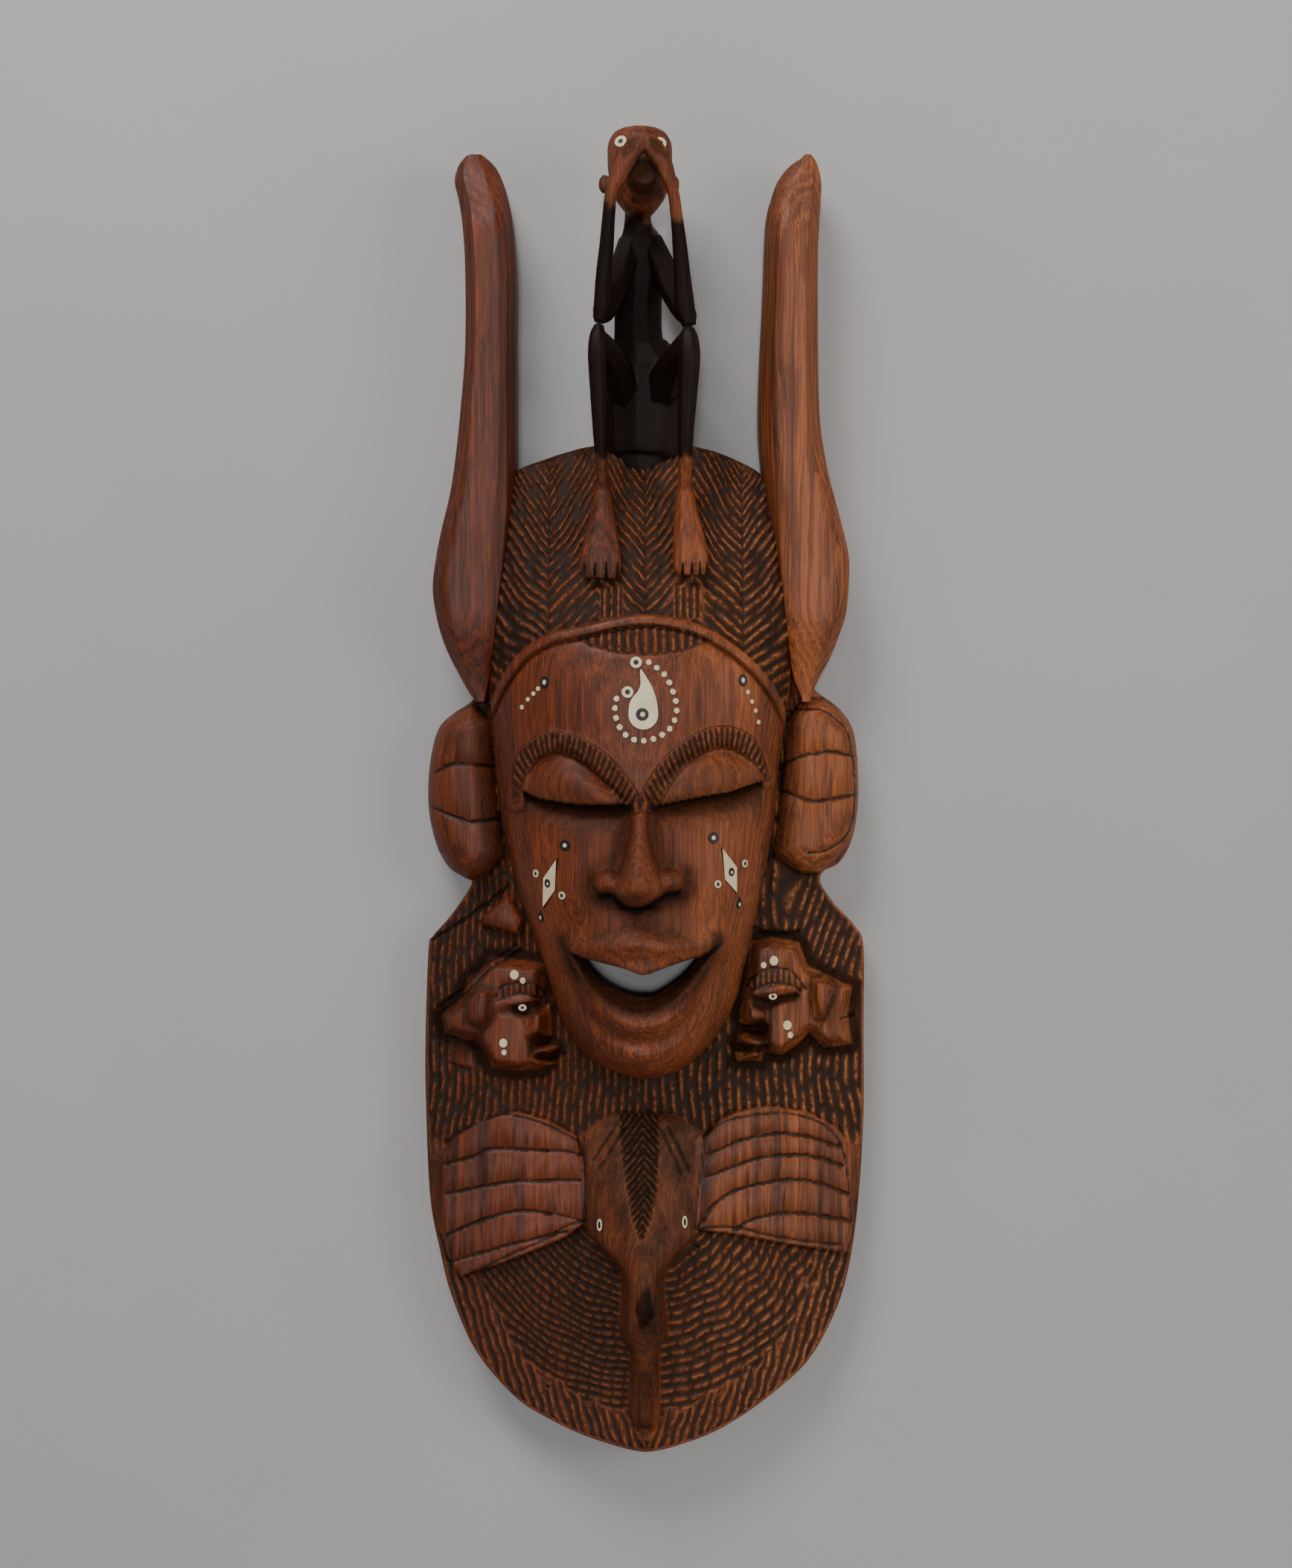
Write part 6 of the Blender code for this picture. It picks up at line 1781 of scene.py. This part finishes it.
class MASK_OT_eyes(bpy.types.Operator):
    """The side profiles' inlays and the eyes of the elephant and the crest figure: ovals set on them."""

    bl_idname = "mask.eyes"
    bl_label = "Eyes and profile inlays"

    def execute(self, context):
        settings = context.scene.mask_settings
        profiles = Inlays()
        for side, eye, dots in PROFILES_SET:
            profiles.plug(f"profile_{side}_eye", master(eye)[0], oval(0.95 * PROFILE_EYE, 0.8), "bone",
                          (centre("profile eye", "black"),))
            for number, (x, y, radius) in enumerate(dots, 1):
                outline = oval(radius, 1.1, 20)
                profiles.plug(f"profile_{side}_dot_{number}", master((x, y))[0], outline, "bone")
        profiles.finish("profiles", settings)
        elephant_eyes = Inlays()
        for side, spot in ELEPHANT_EYES:
            outline = oval(ELEPHANT_EYE_HALF, ELEPHANT_EYE_STRETCH)
            elephant_eyes.plug(f"elephant_eye_{side}", master(spot)[0], outline, "bone",
                               (centre("elephant eye", "black"),))
        elephant_eyes.finish("elephant_eyes", settings)
        crest_eyes = Inlays()
        for side, spot, facing in CREST_EYES:
            place = seat_of(master(spot[:2])[0], facing, spot[2] * UNIT)
            crest_eyes.plug(f"crest_eye_{side}", None, oval(CREST_EYE_RADIUS), "bone",
                            (centre("crest eye", "black"),), place)
        crest_eyes.finish("crest_eyes", settings)
        return {"FINISHED"}


class MASK_OT_stage(bpy.types.Operator):
    """A pale floor, soft studio light and the camera over the mask."""

    bl_idname = "mask.stage"
    bl_label = "Studio"

    def execute(self, context):
        settings = context.scene.mask_settings
        square = ((-1.0, -1.0), (1.0, -1.0), (1.0, 1.0), (-1.0, 1.0))
        grid = np.array([(FLOOR_REACH * x, FLOOR_REACH * y, -FLOOR_DROP) for x, y in square])
        floor = piece("floor", mesh_of("floor", grid, np.array([[0, 1, 2, 3]])))
        floor.data.materials.append(floor_material(settings))
        for name, spot, size, share, colour in LAMPS:
            light = bpy.data.lights.new(name, "AREA")
            light.shape = "DISK"
            light.size = size
            light.energy = share * settings.light_power
            light.color = colour
            lamp = piece(name, light)
            lamp.location = spot
            lamp.rotation_euler = (-Vector(spot)).to_track_quat("-Z", "Y").to_euler()
        overhead = bpy.data.lights.new("overhead_light", "SUN")
        overhead.angle = math.radians(7.0)
        overhead.energy = OVERHEAD_POWER
        piece("overhead_light", overhead).rotation_euler = (math.radians(-1.0), math.radians(-1.0), 0.0)
        world = bpy.data.worlds.new("studio")
        world.use_nodes = True
        backdrop = world.node_tree.nodes["Background"]
        backdrop.inputs["Color"].default_value = hex_colour("#e8e5e0")
        backdrop.inputs["Strength"].default_value = WORLD_STRENGTH
        context.scene.world = world
        lens = bpy.data.cameras.new("camera")
        lens.lens = CAMERA_LENS
        lens.sensor_width = CAMERA_SENSOR
        lens.sensor_fit = "AUTO"
        camera = piece("camera", lens)
        camera.location = (-MIDDLE_X * UNIT, -MIDDLE_Y * UNIT, CAMERA_HEIGHT)
        context.scene.camera = camera
        return {"FINISHED"}


OPERATORS = (MASK_OT_block, MASK_OT_horns, MASK_OT_crest, MASK_OT_forehead, MASK_OT_sides, MASK_OT_eyes,
    MASK_OT_stage)


class MASK_PT_panel(bpy.types.Panel):
    """Lists the steps and the settings of the mask."""

    bl_idname = "MASK_PT_panel"
    bl_label = "Carved wall mask"
    bl_space_type = "VIEW_3D"
    bl_region_type = "UI"
    bl_category = "Mask"

    def draw(self, context):
        for name in MaskSettings.__annotations__:
            self.layout.prop(context.scene.mask_settings, name)
        for operator in OPERATORS:
            self.layout.operator(operator.bl_idname)


def register():
    """Add the settings, the operators and the panel."""
    for kind in (MaskSettings, *OPERATORS, MASK_PT_panel):
        bpy.utils.register_class(kind)
    bpy.types.Scene.mask_settings = bpy.props.PointerProperty(type=MaskSettings)


def unregister():
    """Take them away again."""
    del bpy.types.Scene.mask_settings
    for kind in (MASK_PT_panel, *reversed(OPERATORS), MaskSettings):
        bpy.utils.unregister_class(kind)


def main():
    register()
    for operator in OPERATORS:
        getattr(bpy.ops.mask, operator.bl_idname.split(".")[1])()


if __name__ == "__main__":
    main()
